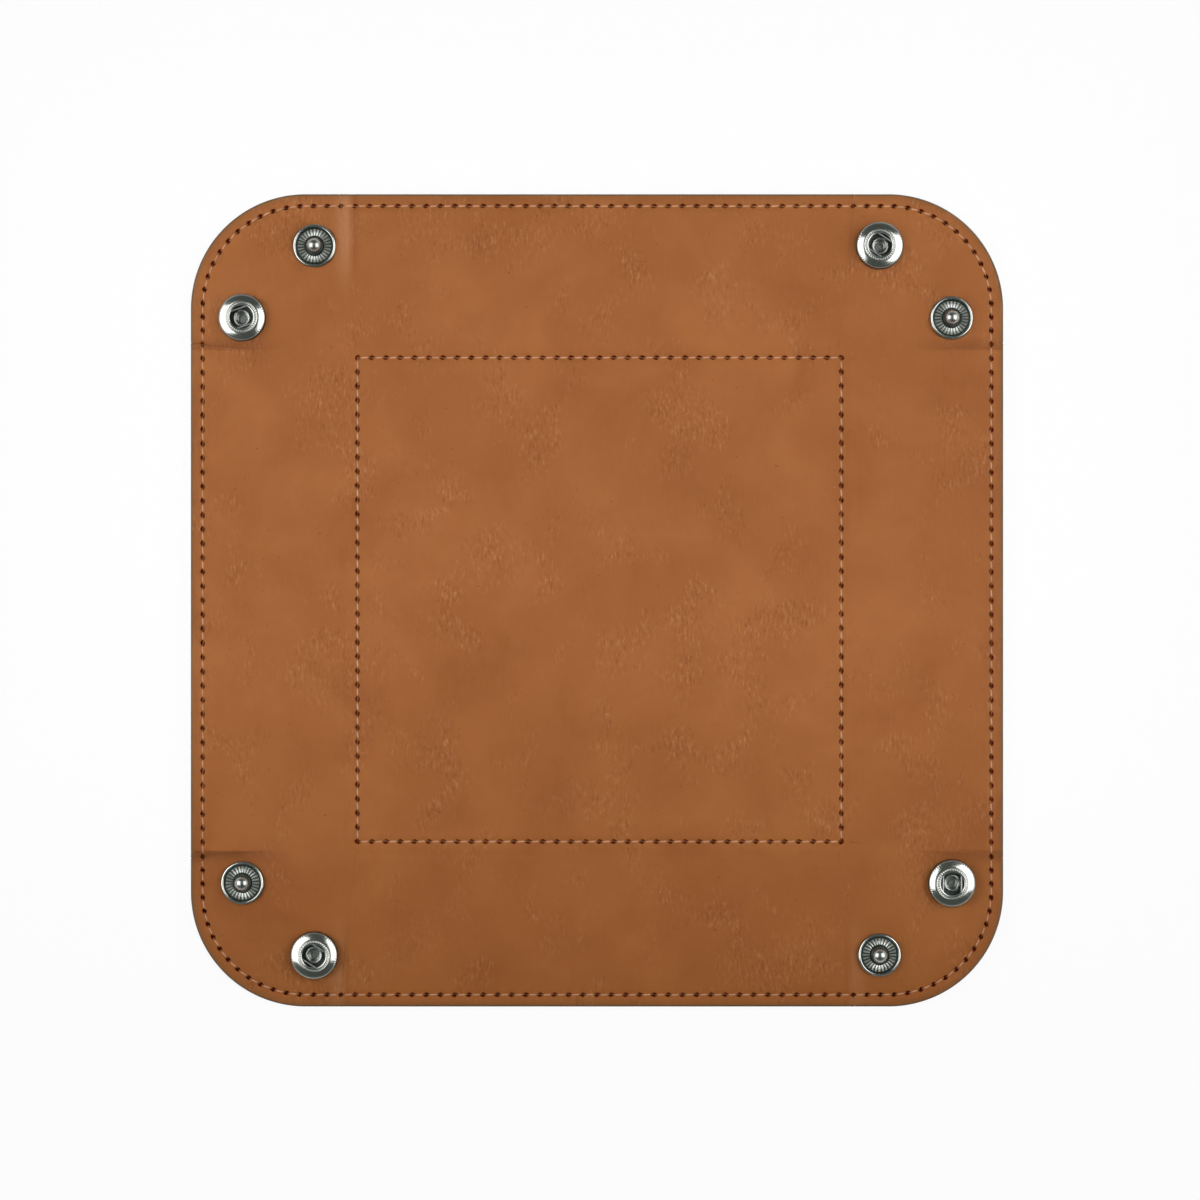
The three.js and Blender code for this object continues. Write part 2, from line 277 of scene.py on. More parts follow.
class TraySheetSizes(bpy.types.PropertyGroup):
    side: length("Side", "Length of each side of the flat sheet", CAD_BOX[1].x - CAD_BOX[0].x)
    corner_radius: length("Corner radius", "Radius of the sheet's round corners", 28.7 * MM)
    top: length("Top", "Height of the upper face", WALL_FOLD["pos_m"][2])
    fold_line: length("Fold line", "Distance of each wall's fold from the centre", WALL_FOLD["pos_m"][0])
    split: length("Split", "Where floor and wall sheets meet, from the centre", CORNER_FOLD["pos_m"][0])
    wall_angle: angle("Wall angle", "How far each wall folds up", WALL_FOLD["range_deg"][1])
    joint_level: length("Joint level", "Height where the two sheets meet at their edges", 1.875 * MM)
    inner_seam: length("Inner seam", "Distance of the floor's seam from the centre", 60.5 * MM)
    rim_seam: length("Rim seam", "Distance of the outer seam from the edge", 3.0 * MM)
    seam_dip: length("Seam dip", "How deep the seams pull the leatherette in", 0.2 * MM)
    pinch: length("Pinch", "Rise of the underside where no board is between the sheets", 0.62 * MM)
    corner_pinch: length("Corner pinch", "Rise of the underside at the corners", 0.75 * MM)
    crease_inset: length("Crease inset", "Distance of the lower sheets from each crease", 1.12 * MM)
    edge_round: length("Edge round", "Radius along the cut edge", 0.4 * MM)
    strip_half: length("Fold strip", "Half width of the strip on each corner's diagonal", 0.4 * MM)
    bend_start: length("Bend start", "Where a flap starts to bend, from the diagonal", 1.3 * MM)
    bend_end: length("Bend end", "Where a flap is flat again, from the diagonal", 2.9 * MM)
    gusset_inner: length("Gusset inner end", "Reach of a gusset from its fold to the floor", 0.75 * MM)
    gusset_outer: length("Gusset outer end", "Reach of a gusset from its fold to the rim", 2.2 * MM)
    gusset_half: length("Gusset half width", "Reach of a gusset beside the diagonal", 3.0 * MM)
    gusset_low: length("Gusset low", "Height of the gusset's lower face", 1.15 * MM)
    gusset_high: length("Gusset high", "Height of the gusset's upper face", 1.8 * MM)


class TraySeamSizes(bpy.types.PropertyGroup):
    floor_count: count("Floor stitches", "Stitches on each side of the floor", 34)
    wall_count: count("Wall stitches", "Stitches along each wall's rim", 36)
    flap_count: count("Flap stitches", "Stitches along each corner flap's rim", 8)
    flap_pitch: length("Flap pitch", "Length of one stitch round the corners", 3.414 * MM)
    floor_right: length("Floor seam right", "How far the floor's seam was sewn to the right", 0.6 * MM)
    floor_back: length("Floor seam back", "How far the floor's seam was sewn to the back", 0.2 * MM)
    hole_long: length("Hole length", "Length of a needle hole along the seam", 1.75 * MM)
    hole_wide: length("Hole width", "Width of a needle hole across the seam", 1.3 * MM)
    thread: length("Thread", "Width of the sewing thread", 0.38 * MM)


class TraySnapSizes(bpy.types.PropertyGroup):
    flutes: count("Flutes", "Radial flutes round a stud", 28)
    beads: count("Beads", "Beads round a socket's mouth", 40)
    teeth: count("Teeth", "Fine teeth round a socket's edge", 56)
    wire: length("Spring wire", "Radius of the socket's spring wire", 0.2 * MM)
    wire_half: length("Spring half width", "Distance of each spring leg from the socket's middle", 2.28 * MM)


class TrayColours(bpy.types.PropertyGroup):
    leather: tone("Leatherette", "Main tan", (160, 95, 46))
    leather_light: tone("Light leatherette", "Lighter blotches", (168, 103, 52))
    leather_dark: tone("Dark leatherette", "Darker blotches", (150, 87, 40))
    # The next colour is the paler tone of raised crackle and the painted highlight at pale crease marks; the
    # one after it is the darker tone of sunk crackle and flecks and the painted shade at dark crease marks.
    scuff: tone("Scuff", "Stretched leatherette on a ridge", (196, 138, 98))
    crease: tone("Crease", "Darker leatherette in a crease", (104, 54, 24))
    edge: tone("Edge paint", "Painted cut edge", (104, 82, 54))
    hole: tone("Needle hole", "Inside of a needle hole", (126, 40, 14))
    thread: tone("Thread", "Sewing thread", (228, 170, 128))
    nickel: tone("Nickel", "Plating of the snaps", (226, 228, 222))
    # The next two nickel colours are painted shade: the first, a little darker, paints the dim reflection on
    # the studs' balls and the shade on the caps' posts; the second paints the shade inside the sockets, in the
    # studs' recesses and grooves, and at both snaps' edges.
    worn_nickel: tone("Worn nickel", "Plating on the studs' balls", (200, 203, 198))
    dark_nickel: tone("Dark nickel", "Metal inside the sockets and in the studs' grooves", (96, 104, 98))
    steel: tone("Steel", "Spring wire", (222, 224, 222))
    board: tone("Greyboard", "Stiffener between the sheets", (141, 136, 126))


class TrayStage(bpy.types.PropertyGroup):
    camera_height: length("Camera height", "Height of the camera over the tray", 0.753)
    frame_width: length("Frame width", "Width that the picture shows at the tray", 0.3)
    shift_x: length("Camera right", "Camera's place to the right of the centre", 0.00075)
    shift_y: length("Camera up", "Camera's place behind the centre", 0.0001)
    lamp_power: power("Lamp power", "Power of each softbox", 3.8)
    lamp_shift: length("Lamp shift", "How far the softboxes stand behind the centre", 0.06)
    lamp_tilt: angle("Lamp tilt", "Softbox angle from straight above", 45)
    lamp_distance: length("Lamp distance", "Distance of the softboxes from the tray", 0.85)
    lamp_width: length("Lamp width", "Width of each softbox, across the tray", 0.8)
    lamp_length: length("Lamp length", "Length of each softbox, along the tray", 0.7)
    pool_power: power("Pool power", "Power of the overhead lamp", 0.066)
    pool_height: length("Pool height", "Height of the overhead lamp", 0.8)
    pool_shift: length("Pool shift", "How far the overhead lamp stands behind the centre", 0.04)
    pool_width: length("Pool width", "Width of the overhead lamp", 0.3)
    pool_length: length("Pool length", "Length of the overhead lamp, along the tray", 0.21)
    pool_spread: angle("Pool spread", "Cone that the overhead lamp lights", 12)
    floor_size: length("Floor size", "Side of the floor", 24.0)


class Layout:
    """Lines of the flat sheet, worked out from its sizes."""

    def __init__(self, scene, is_flap=False):
        self.is_flap = is_flap
        self.sheet = scene.tray_sheet
        self.seams = scene.tray_seams
        self.half = self.sheet.side / 2
        self.radius = self.sheet.corner_radius
        self.arc_centre = self.half - self.radius
        self.fold = self.sheet.fold_line
        self.split = self.sheet.split
        self.top = self.sheet.top
        self.crease_y = 2 * self.split - self.fold
        self.crease_angle = math.atan(math.cos(self.sheet.wall_angle))
        self.half_crease = math.acos(math.sin(self.sheet.wall_angle) / math.sqrt(2)) / 2
        self.bevel = self.half_crease + BEVEL_ROOM
        self.seam_x = self.half - self.sheet.rim_seam
        self.wall_seam_half = self.crease_y + (self.seam_x - self.fold) * math.tan(self.crease_angle)
        self.floor_pitch = 2 * self.sheet.inner_seam / self.seams.floor_count
        self.wall_pitch = 2 * self.wall_seam_half / self.seams.wall_count
        self.floor_sewn = Vector((self.seams.floor_right, self.seams.floor_back, 0))
        self.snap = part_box("back_right_stud")[0].lerp(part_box("back_right_stud")[1], 0.5)

    def rim_distance(self, x, y):
        """Distance outside the sheet's edge, below zero inside it."""
        across = abs(x) - self.arc_centre
        along = abs(y) - self.arc_centre
        if across > 0 and along > 0:
            return math.hypot(across, along) - self.radius
        return max(across, along) - self.radius

    def rim_normal(self, x, y):
        """Direction straight out over the nearest edge."""
        across = abs(x) - self.arc_centre
        along = abs(y) - self.arc_centre
        if across > 0 and along > 0:
            return Vector((math.copysign(across, x), math.copysign(along, y), 0)).normalized()
        if across > along:
            return Vector((math.copysign(1, x), 0, 0))
        return Vector((0, math.copysign(1, y), 0))

    def floor_seam_distance(self, x, y):
        """Distance outside the floor's seam, below zero inside it."""
        return max(abs(x - self.floor_sewn.x), abs(y - self.floor_sewn.y)) - self.sheet.inner_seam

    def crease_distance(self, out, along):
        """Distance past a wall's crease towards the corner, for a place this far out and along."""
        across = (along - self.crease_y) * math.cos(self.crease_angle)
        return across - (out - self.fold) * math.sin(self.crease_angle)

    def crease_mark(self, x, y):
        """Shade and distance of the crease mark that lies in the same eighth of the sheet."""
        if abs(x) > abs(y):
            wall = "right" if x > 0 else "left"
            leading = (y > 0) == (x > 0)
        else:
            wall = "back" if y > 0 else "front"
            leading = (x < 0) == (y > 0)
        return CREASE_MARKS[wall][0 if leading else 1]


def out_and_along(x, y):
    """How far a place lies out from the centre towards its wall, and how far along that wall."""
    return max(abs(x), abs(y)), min(abs(x), abs(y))


def hump(distance, width):
    """A smooth hump of height 1 that ends at this width."""
    share = distance / width
    if abs(share) >= 1:
        return 0.0
    return (1 - share * share) ** 2


def ease(start, end, value):
    """Runs smoothly from 0 at the start to 1 at the end."""
    share = min(1.0, max(0.0, (value - start) / (end - start)))
    return share * share * (3 - 2 * share)


def crease_reach(lay, out):
    """Share of a crease mark that is left this far out: full at the rim, and none well inside it."""
    return ease(*MARK_FADE, out - lay.fold)


def crease_light_and_shade(lay, x, y):
    """Painted highlight beside a pale crease mark, partly stretched leatherette, and painted shade beside a
    dark one, on its corner side.

    A pale mark is broad, with a darker line of painted shade on its wall side. A dark mark starts sharply and
    fades.
    """
    out, along = out_and_along(x, y)
    shade, mark = lay.crease_mark(x, y)
    past = along - mark
    if out < lay.fold:
        return 0.0
    if shade > 0:
        share = ease(*PALE_RISE, past) * (1 - ease(*PALE_FADE, past))
        share -= 0.5 * hump(past + PALE_LINE, PALE_LINE)
    else:
        share = ease(*DARK_RISE, past) * (1 - ease(*DARK_FADE, past))
    return shade * share * crease_reach(lay, out)


def upper_level(lay, x, y):
    """Height of the upper face."""
    sheet = lay.sheet
    out, along = out_and_along(x, y)
    rim = lay.rim_distance(x, y)
    level = lay.top
    level -= sheet.seam_dip * hump(lay.floor_seam_distance(x, y), FLOOR_SEAM_REACH)
    if along < lay.crease_y:
        level -= FOLD_DIP * hump(out - lay.fold, FOLD_REACH)
    shade, mark = lay.crease_mark(x, y)
    dip = sheet.seam_dip * hump(rim + sheet.rim_seam, RIM_SEAM_REACH)
    dip += RIM_DROP * ease(-RIM_REACH, 0, rim)
    dip += MARK_DIP * hump(along - mark, MARK_REACH) * abs(shade) * crease_reach(lay, out)
    snap = math.hypot(out - lay.snap.x, along - lay.snap.y)
    level -= SNAP_DIP * hump(max(0, snap - SNAP_EDGE), SNAP_REACH)
    wave = sum(height * noise.noise(Vector((x * turns, y * turns, seed))) for height, turns, seed in WAVES)
    if out > lay.fold:
        from_crease = abs(lay.crease_distance(out, along))
        wave *= ease(0, WAVE_CALM, from_crease)
        dip *= ease(0, DIP_CALM, from_crease)
    level -= dip
    if along > lay.crease_y - CORNER_START:
        past_fold = (out + along) / math.sqrt(2) - lay.split * math.sqrt(2)
        wave *= ease(0, WAVE_CALM, abs(past_fold))
        level -= CORNER_DIP * hump(past_fold, CORNER_REACH)
    return level + wave


def board_share(lay, x, y):
    """1 where a board lies under this place and 0 where the sheets are pinched together."""
    out, along = out_and_along(x, y)
    floor = 1 - ease(*FLOOR_BOARD_SLOPE, lay.floor_seam_distance(x, y))
    wall = ease(*FOLD_BOARD_SLOPE, out - lay.fold)
    wall *= 1 - ease(*RIM_BOARD_SLOPE, lay.rim_distance(x, y))
    wall *= 1 - ease(*CREASE_BOARD_SLOPE, lay.crease_distance(out, along))
    return max(floor, wall)


def lower_level(lay, x, y):
    """Height of the underside."""
    sheet = lay.sheet
    out, along = out_and_along(x, y)
    corner = ease(-PINCH_STEP, PINCH_STEP, lay.crease_distance(out, along)) if out > lay.fold else 0
    pinch = sheet.pinch + (sheet.corner_pinch - sheet.pinch) * corner
    level = pinch * (1 - board_share(lay, x, y))
    level += UNDER_DIP * hump(lay.floor_seam_distance(x, y), UNDER_FLOOR_REACH)
    level += UNDER_DIP * hump(lay.rim_distance(x, y) + sheet.rim_seam, UNDER_RIM_REACH)
    return level


def add_grid(bm, low, high, spacing):
    """A flat grid between two corners."""
    size = Vector(high) - Vector(low)
    middle = (Vector(high) + Vector(low)) / 2
    matrix = Matrix.Translation((middle.x, middle.y, 0)) @ Matrix.Diagonal((size.x, size.y, 1, 1))
    bmesh.ops.create_grid(
        bm,
        x_segments=max(1, round(size.x / spacing)),
        y_segments=max(1, round(size.y / spacing)),
        size=0.5,
        matrix=matrix,
    )


def slice_sheet(bm, point, normal, clear=False):
    """Cuts the flat sheet along a line, and takes off what lies past it."""
    bmesh.ops.bisect_plane(
        bm,
        geom=bm.verts[:] + bm.edges[:] + bm.faces[:],
        dist=1e-7,
        plane_co=point,
        plane_no=normal,
        clear_outer=clear,
    )


def seam_rows(centre):
    """Rows beside a seam, close enough to follow its dip."""
    return [centre + step * MM for step in SEAM_ROWS]


def wall_bends(lay):
    """Lines along which the right wall's sheet bends, each as a place and the direction across it."""
    half = lay.fold - lay.split
    across = Vector((1, 0, 0))
    steps = range(1 - WALL_BEND_STEPS, WALL_BEND_STEPS + 1)
    return [(across * (lay.fold + half * step / WALL_BEND_STEPS), across) for step in steps]


def flap_bends(lay):
    """Lines along which the stud flap's sheet bends at the back right corner."""
    reach = lay.sheet.bend_end - lay.sheet.bend_start
    across = Vector((1, -1, 0)).normalized()
    steps = range(FLAP_BEND_STEPS + 1)
    return [(across * (lay.sheet.bend_start + reach * step / FLAP_BEND_STEPS), across) for step in steps]


def floor_plan(bm, lay):
    """Flat outline of the floor's sheet."""
    add_grid(bm, (-lay.split, -lay.split), (lay.split, lay.split), COARSE)
    for turn in range(4):
        normal = Matrix.Rotation(turn * QUARTER_TURN, 3, "Z") @ Vector((1, 0, 0))
        sewn = lay.sheet.inner_seam + lay.floor_sewn.dot(normal)
        for row in seam_rows(sewn):
            if row < lay.split - ROW_ROOM:
                slice_sheet(bm, normal * row, normal)


def wall_plan(bm, lay, inset):
    """Flat outline of the right wall's sheet, with its creased ends drawn in by the inset."""
    rim = lay.half - lay.sheet.edge_round
    reach = lay.crease_y + (rim - lay.fold) * math.tan(lay.crease_angle) + WALL_SPARE
    add_grid(bm, (lay.split, -reach), (rim, reach), COARSE)
    for place, across in wall_bends(lay):
        slice_sheet(bm, place, across)
    rows = [row for row in seam_rows(lay.seam_x) if row < rim]
    rows += [lay.fold + FOLD_ROW, lay.half - RIM_ROW]
    for row in rows:
        slice_sheet(bm, (row, 0, 0), (1, 0, 0))
    for end in (1, -1):
        start = Vector((lay.fold, end * lay.crease_y, 0))
        normal = Vector((-math.sin(lay.crease_angle), end * math.cos(lay.crease_angle), 0))
        for step in CREASE_ROWS:
            slice_sheet(bm, start - normal * (inset + step * MM), normal)
        slice_sheet(bm, (lay.split, end * lay.split, 0), (1, end, 0))
        for mark in MARK_LINES:
            for step in WALL_MARK_ROWS:
                slice_sheet(bm, (0, end * (mark + step * MM), 0), (0, 1, 0))
    outside = []
    for face in bm.faces:
        place = face.calc_center_median()
        past_crease = lay.crease_distance(place.x, abs(place.y)) > -inset
        past_floor = place.x + abs(place.y) > 2 * lay.split
        if past_crease if place.x > lay.fold else past_floor:
            outside.append(face)
    bmesh.ops.delete(bm, geom=outside, context="FACES")


def flap_plan(bm, lay, inset, spacing):
    """Flat outline of the stud flap's sheet at the back right corner."""
    rim = lay.half - lay.sheet.edge_round
    near = lay.split * math.sqrt(2)
    far = lay.arc_centre * math.sqrt(2) + lay.radius
    add_grid(bm, (near, -FLAP_WIDTH), (far, -lay.sheet.strip_half), spacing)
    bmesh.ops.rotate(bm, verts=bm.verts, cent=(0, 0, 0), matrix=Matrix.Rotation(QUARTER_TURN / 2, 3, "Z"))
    for place, across in flap_bends(lay):
        slice_sheet(bm, place, across)
    normal = Vector((math.sin(lay.crease_angle), -math.cos(lay.crease_angle), 0))
    slice_sheet(bm, Vector((lay.fold, lay.crease_y, 0)) - normal * inset, normal, clear=True)
    slice_sheet(bm, (rim, 0, 0), (1, 0, 0), clear=True)
    for mark in MARK_LINES:
        for step in FLAP_MARK_ROWS:
            slice_sheet(bm, (0, mark + step * MM, 0), (0, 1, 0))
    centre = Vector((lay.arc_centre, lay.arc_centre, 0))
    for step in range(1, CORNER_CUTS + 1):
        outward = Matrix.Rotation(step * CORNER_STEP, 3, "Z") @ Vector((1, 0, 0))
        slice_sheet(bm, centre + outward * (lay.radius - lay.sheet.edge_round), outward, clear=True)
    join_slivers(bm, spacing * SLIVER)


def strip_plan(bm, lay):
    """Flat outline of the narrow strip on the back right corner's diagonal."""
    near = lay.split * math.sqrt(2)
    far = lay.arc_centre * math.sqrt(2) + lay.radius - lay.sheet.edge_round
    add_grid(bm, (near, -lay.sheet.strip_half), (far, lay.sheet.strip_half), STRIP_SPACING)
    bmesh.ops.rotate(bm, verts=bm.verts, cent=(0, 0, 0), matrix=Matrix.Rotation(QUARTER_TURN / 2, 3, "Z"))


def join_slivers(bm, distance):
    """Merges points that a cut left close to the outline into the outline."""
    outline = [vert for vert in bm.verts if vert.is_boundary]
    found = bmesh.ops.find_doubles(bm, verts=bm.verts, keep_verts=outline, dist=distance)
    bmesh.ops.weld_verts(bm, targetmap=found["targetmap"])


def own_direction(place, direction):
    """A direction given for the crease at the back right stud flap, turned to the crease near this place."""
    if abs(place.y) > abs(place.x):
        direction = direction.yxz
    x = math.copysign(direction.x, direction.x * place.x)
    y = math.copysign(direction.y, direction.y * place.y)
    return Vector((x, y, 0))


def edge_moves(lay, place, inset):
    """How a point of the outline moves as the edge goes round: over the rim, and along the crease's bevel."""
    over = Vector((0, 0, 0))
    if abs(lay.rim_distance(place.x, place.y) + lay.sheet.edge_round) < ON_RIM:
        over = lay.rim_normal(place.x, place.y)
    slant = Vector((0, 0, 0))
    out, along = out_and_along(place.x, place.y)
    off_crease = abs(abs(lay.crease_distance(out, along)) - inset)
    on_crease = off_crease < ON_LINE
    bevel_width = (lay.top - lay.sheet.joint_level) * math.tan(lay.bevel)
    beside_crease = inset == 0 and off_crease < bevel_width
    if out > lay.fold - ON_LINE and (on_crease or beside_crease):
        angle = lay.crease_angle
        slant = own_direction(place, Vector((math.sin(angle), -math.cos(angle), 0))) * math.tan(lay.bevel)
        if not lay.is_flap:
            slant = -slant
        if not on_crease:
            slant *= 1 - off_crease / bevel_width
        elif over.length:
            over = own_direction(place, Vector((1, math.tan(angle), 0)))
    return over, slant


def wrap_edges(bm, lay, inset, downwards, bends):
    """Rounds the sheet's cut edge, takes it to the level where the sheets meet, and closes it there.

    The closing face is cut along the bends too, like the sheet.
    """
    radius = lay.sheet.edge_round
    turns = (math.pi / 6, math.pi / 3, QUARTER_TURN)
    rows = [(radius * math.sin(turn), radius * (1 - math.cos(turn))) for turn in turns]
    rows.append((radius, None))
    sign = -1 if downwards else 1
    ring = {}
    for vert in bm.verts:
        if vert.is_boundary:
            over, slant = edge_moves(lay, vert.co, inset)
            if downwards:
                out = max(abs(vert.co.x), abs(vert.co.y))
                room = CREASE_ROOM + FOOT_ROOM * (1 - ease(*FOOT_FADE, out - lay.fold))
                vert.co -= slant * (room + max(0, lay.top - vert.co.z))
            ring[vert] = (vert.co.copy(), over, slant)
    edges = [edge for edge in bm.edges if edge.is_boundary]
    for reach, depth in rows:
        made = bmesh.ops.extrude_edge_only(bm, edges=edges)["geom"]
        edges = [item for item in made if isinstance(item, bmesh.types.BMEdge) and item.is_boundary]
        fresh = {}
        for vert in [item for item in made if isinstance(item, bmesh.types.BMVert)]:
            source = next(edge.other_vert(vert) for edge in vert.link_edges if edge.other_vert(vert) in ring)
            home, over, slant = ring[source]
            down = depth if depth is not None else abs(home.z - lay.sheet.joint_level) - SHEET_GAP
            vert.co = home + over * reach + slant * (sign * down) + Vector((0, 0, sign * down))
            if depth is None:
                vert.co.z = lay.sheet.joint_level - sign * SHEET_GAP
            fresh[vert] = ring[source]
        for face in {face for vert in fresh for face in vert.link_faces}:
            if all(is_over(ring, fresh, vert) for vert in face.verts):
                face.material_index = 1
        ring = fresh
    faces = bmesh.ops.edgeloop_fill(bm, edges=edges)["faces"]
    for place, across in bends:
        geom = list({item for face in faces for item in (face, *face.edges, *face.verts)})
        cut = bmesh.ops.bisect_plane(bm, geom=geom, dist=1e-7, plane_co=place, plane_no=across)["geom"]
        faces = [item for item in cut if isinstance(item, bmesh.types.BMFace)]
    bmesh.ops.recalc_face_normals(bm, faces=bm.faces)


def is_over(ring, fresh, vert):
    """True for a point that went out over the rim."""
    return fresh.get(vert, ring.get(vert))[1].length > 0


def add_needle_hole(bm, lay, place, direction, level, downwards):
    """A tapered pit with a rounded diamond mouth, a little slanted to the seam."""
    seams = lay.seams
    sign = -1 if downwards else 1
    made = bmesh.ops.create_cone(
        bm, cap_ends=True, segments=8, radius1=HOLE_TIP, radius2=0.5, depth=HOLE_DEPTH
    )["verts"]
    for vert in made:
        if abs(abs(vert.co.x) - abs(vert.co.y)) < 0.02:
            vert.co.x *= HOLE_FLAT
            vert.co.y *= HOLE_FLAT
    heading = math.atan2(direction.y, direction.x) + HOLE_SLANT
    matrix = Matrix.Translation((place.x, place.y, level + sign * HOLE_SUNK * HOLE_DEPTH))
    matrix = matrix @ Matrix.Rotation(heading, 4, "Z")
    matrix = matrix @ Matrix.Diagonal((seams.hole_long, seams.hole_wide, -sign, 1))
    bmesh.ops.transform(bm, matrix=matrix, verts=made)
    for face in {face for vert in made for face in vert.link_faces}:
        face.material_index = 2


def floor_seam(lay):
    """Needle holes of the inner seam, in order round the floor."""
    holes = []
    for turn in range(4):
        matrix = Matrix.Rotation(turn * QUARTER_TURN, 3, "Z")
        for index in range(lay.seams.floor_count):
            place = Vector((lay.sheet.inner_seam, -lay.sheet.inner_seam + index * lay.floor_pitch, 0))
            holes.append(lay.floor_sewn + matrix @ place)
    return holes


def wall_seam(lay):
    """Needle holes along the right wall's rim, from crease to crease."""
    places = range(lay.seams.wall_count + 1)
    return [Vector((lay.seam_x, -lay.wall_seam_half + index * lay.wall_pitch, 0)) for index in places]


def flap_seam(lay):
    """Needle holes along the stud flap's rim at the back right corner, from the crease to the diagonal."""
    straight = lay.arc_centre - lay.wall_seam_half
    radius = lay.radius - lay.sheet.rim_seam
    holes = []
    for index in range(lay.seams.flap_count + 1):
        run = index * lay.seams.flap_pitch
        if run < straight:
            holes.append(Vector((lay.seam_x, lay.wall_seam_half + run, 0)))
        else:
            turn = (run - straight) / radius
            x = lay.arc_centre + radius * math.cos(turn)
            y = lay.arc_centre + radius * math.sin(turn)
            holes.append(Vector((x, y, 0)))
    return holes


def headings(holes, closed=False):
    """Direction of the seam at each hole."""
    found = []
    for index, hole in enumerate(holes):
        is_last = index == len(holes) - 1
        after = holes[0 if is_last else index + 1] if closed or not is_last else hole
        before = holes[index - 1] if closed or index > 0 else hole
        found.append((after - before).normalized())
    return found


def new_object(name, bm, materials):
    """Puts a finished mesh in the scene."""
    mesh = bpy.data.meshes.new(name)
    bm.to_mesh(mesh)
    bm.free()
    piece = bpy.data.objects.new(name, mesh)
    bpy.context.scene.collection.objects.link(piece)
    for material in materials:
        mesh.materials.append(material)
    return piece


def cut_away(piece, cutters):
    """Takes the cutters' shapes out of a piece."""
    tool = new_object(piece.name + "_cutters", cutters, [])
    modifier = piece.modifiers.new("holes", "BOOLEAN")
    modifier.operation = "DIFFERENCE"
    modifier.solver = "MANIFOLD"
    modifier.object = tool
    graph = bpy.context.evaluated_depsgraph_get()
    cut = bpy.data.meshes.new_from_object(piece.evaluated_get(graph))
    if len(cut.polygons) == 0:
        raise RuntimeError("cutting the needle holes of " + piece.name + " left nothing")
    piece.modifiers.clear()
    old = piece.data
    piece.data = cut
    cut.name = piece.name
    bpy.data.meshes.remove(old)
    spent = tool.data
    bpy.data.objects.remove(tool)
    bpy.data.meshes.remove(spent)


def smooth(piece, angle=32):
    """Smooth shading, with sharp edges past this angle in degrees."""
    piece.data.polygons.foreach_set("use_smooth", [True] * len(piece.data.polygons))
    piece.data.set_sharp_from_angle(angle=math.radians(angle))


def mark_leather(piece, lay):
    """Stores what the leatherette's finish reads: each point's flat place, the painted highlight and shade of
    its crease mark, and its rim band.
    """
    mesh = piece.data
    mesh.attributes.new("flat_place", "FLOAT_VECTOR", "POINT")
    # The crease attribute holds painted highlight and painted shade beside the crease marks.
    mesh.attributes.new("crease", "FLOAT", "POINT")
    mesh.attributes.new("rim", "FLOAT", "POINT")
    places = []
    crease_shading = []
    rims = []
    for vert in mesh.vertices:
        places.extend(vert.co)
        on_top = vert.co.z > lay.sheet.joint_level + MARK_LEVEL
        crease_shading.append(crease_light_and_shade(lay, vert.co.x, vert.co.y) if on_top else 0.0)
        rims.append(ease(*RIM_BAND, lay.rim_distance(vert.co.x, vert.co.y)))
    mesh.attributes["flat_place"].data.foreach_set("vector", places)
    mesh.attributes["crease"].data.foreach_set("value", crease_shading)
    mesh.attributes["rim"].data.foreach_set("value", rims)


def turned(bm, quarter, mirror=False):
    """Moves a piece made at the right wall or back right corner to its own quarter of the tray."""
    if mirror:
        swap = Matrix(((0, 1, 0, 0), (1, 0, 0, 0), (0, 0, 1, 0), (0, 0, 0, 1)))
        bmesh.ops.transform(bm, matrix=swap, verts=bm.verts)
        bmesh.ops.reverse_faces(bm, faces=bm.faces)
    matrix = Matrix.Rotation(quarter * QUARTER_TURN, 3, "Z")
    bmesh.ops.rotate(bm, verts=bm.verts, cent=(0, 0, 0), matrix=matrix)


def quarter_point(point, quarter, mirror=False):
    """A place at the right wall or back right corner, moved to another quarter."""
    start = Vector(point).yxz if mirror else Vector(point)
    return Matrix.Rotation(quarter * QUARTER_TURN, 3, "Z") @ start


def move_into(bm, fresh):
    """Moves one mesh in the making into another."""
    scratch = bpy.data.meshes.new("moved")
    fresh.to_mesh(scratch)
    fresh.free()
    bm.from_mesh(scratch)
    bpy.data.meshes.remove(scratch)


def board_pocket(cutters, node):
    """Adds the room that a board takes up inside the lower sheet."""
    fresh = bmesh.new()
    fresh.from_mesh(frame["nodes"][node].data)
    bmesh.ops.remove_doubles(fresh, verts=fresh.verts, dist=SAME_POINT)
    fresh.normal_update()
    for vert in fresh.verts:
        flat = Vector((vert.normal.x, vert.normal.y, 0)).normalized()
        vert.co += flat * BOARD_SIDE_ROOM
        vert.co.z += POCKET_OPEN if vert.normal.z > 0 else -BOARD_UNDER_ROOM
    move_into(cutters, fresh)


def add_gusset(bm, lay, quarter, room):
    """The leatherette inside one corner, or with some room the pocket that it lies in."""
    sheet = lay.sheet
    near = lay.split * math.sqrt(2)
    fresh = bmesh.new()
    half = sheet.gusset_half + room
    first = near - sheet.gusset_inner - room
    last = near + sheet.gusset_outer + room
    add_grid(fresh, (first, -half), (last, half), GUSSET_SPACING)
    matrix = Matrix.Rotation((quarter + 0.5) * QUARTER_TURN, 3, "Z")
    bmesh.ops.rotate(fresh, verts=fresh.verts, cent=(0, 0, 0), matrix=matrix)
    bmesh.ops.translate(fresh, verts=fresh.verts, vec=(0, 0, sheet.gusset_low - room))
    made = bmesh.ops.extrude_face_region(fresh, geom=fresh.faces[:])["geom"]
    raised = [item for item in made if isinstance(item, bmesh.types.BMVert)]
    high = sheet.joint_level + POCKET_OPEN if room else sheet.gusset_high
    for vert in raised:
        vert.co.z = high
    bmesh.ops.recalc_face_normals(fresh, faces=fresh.faces)
    move_into(bm, fresh)


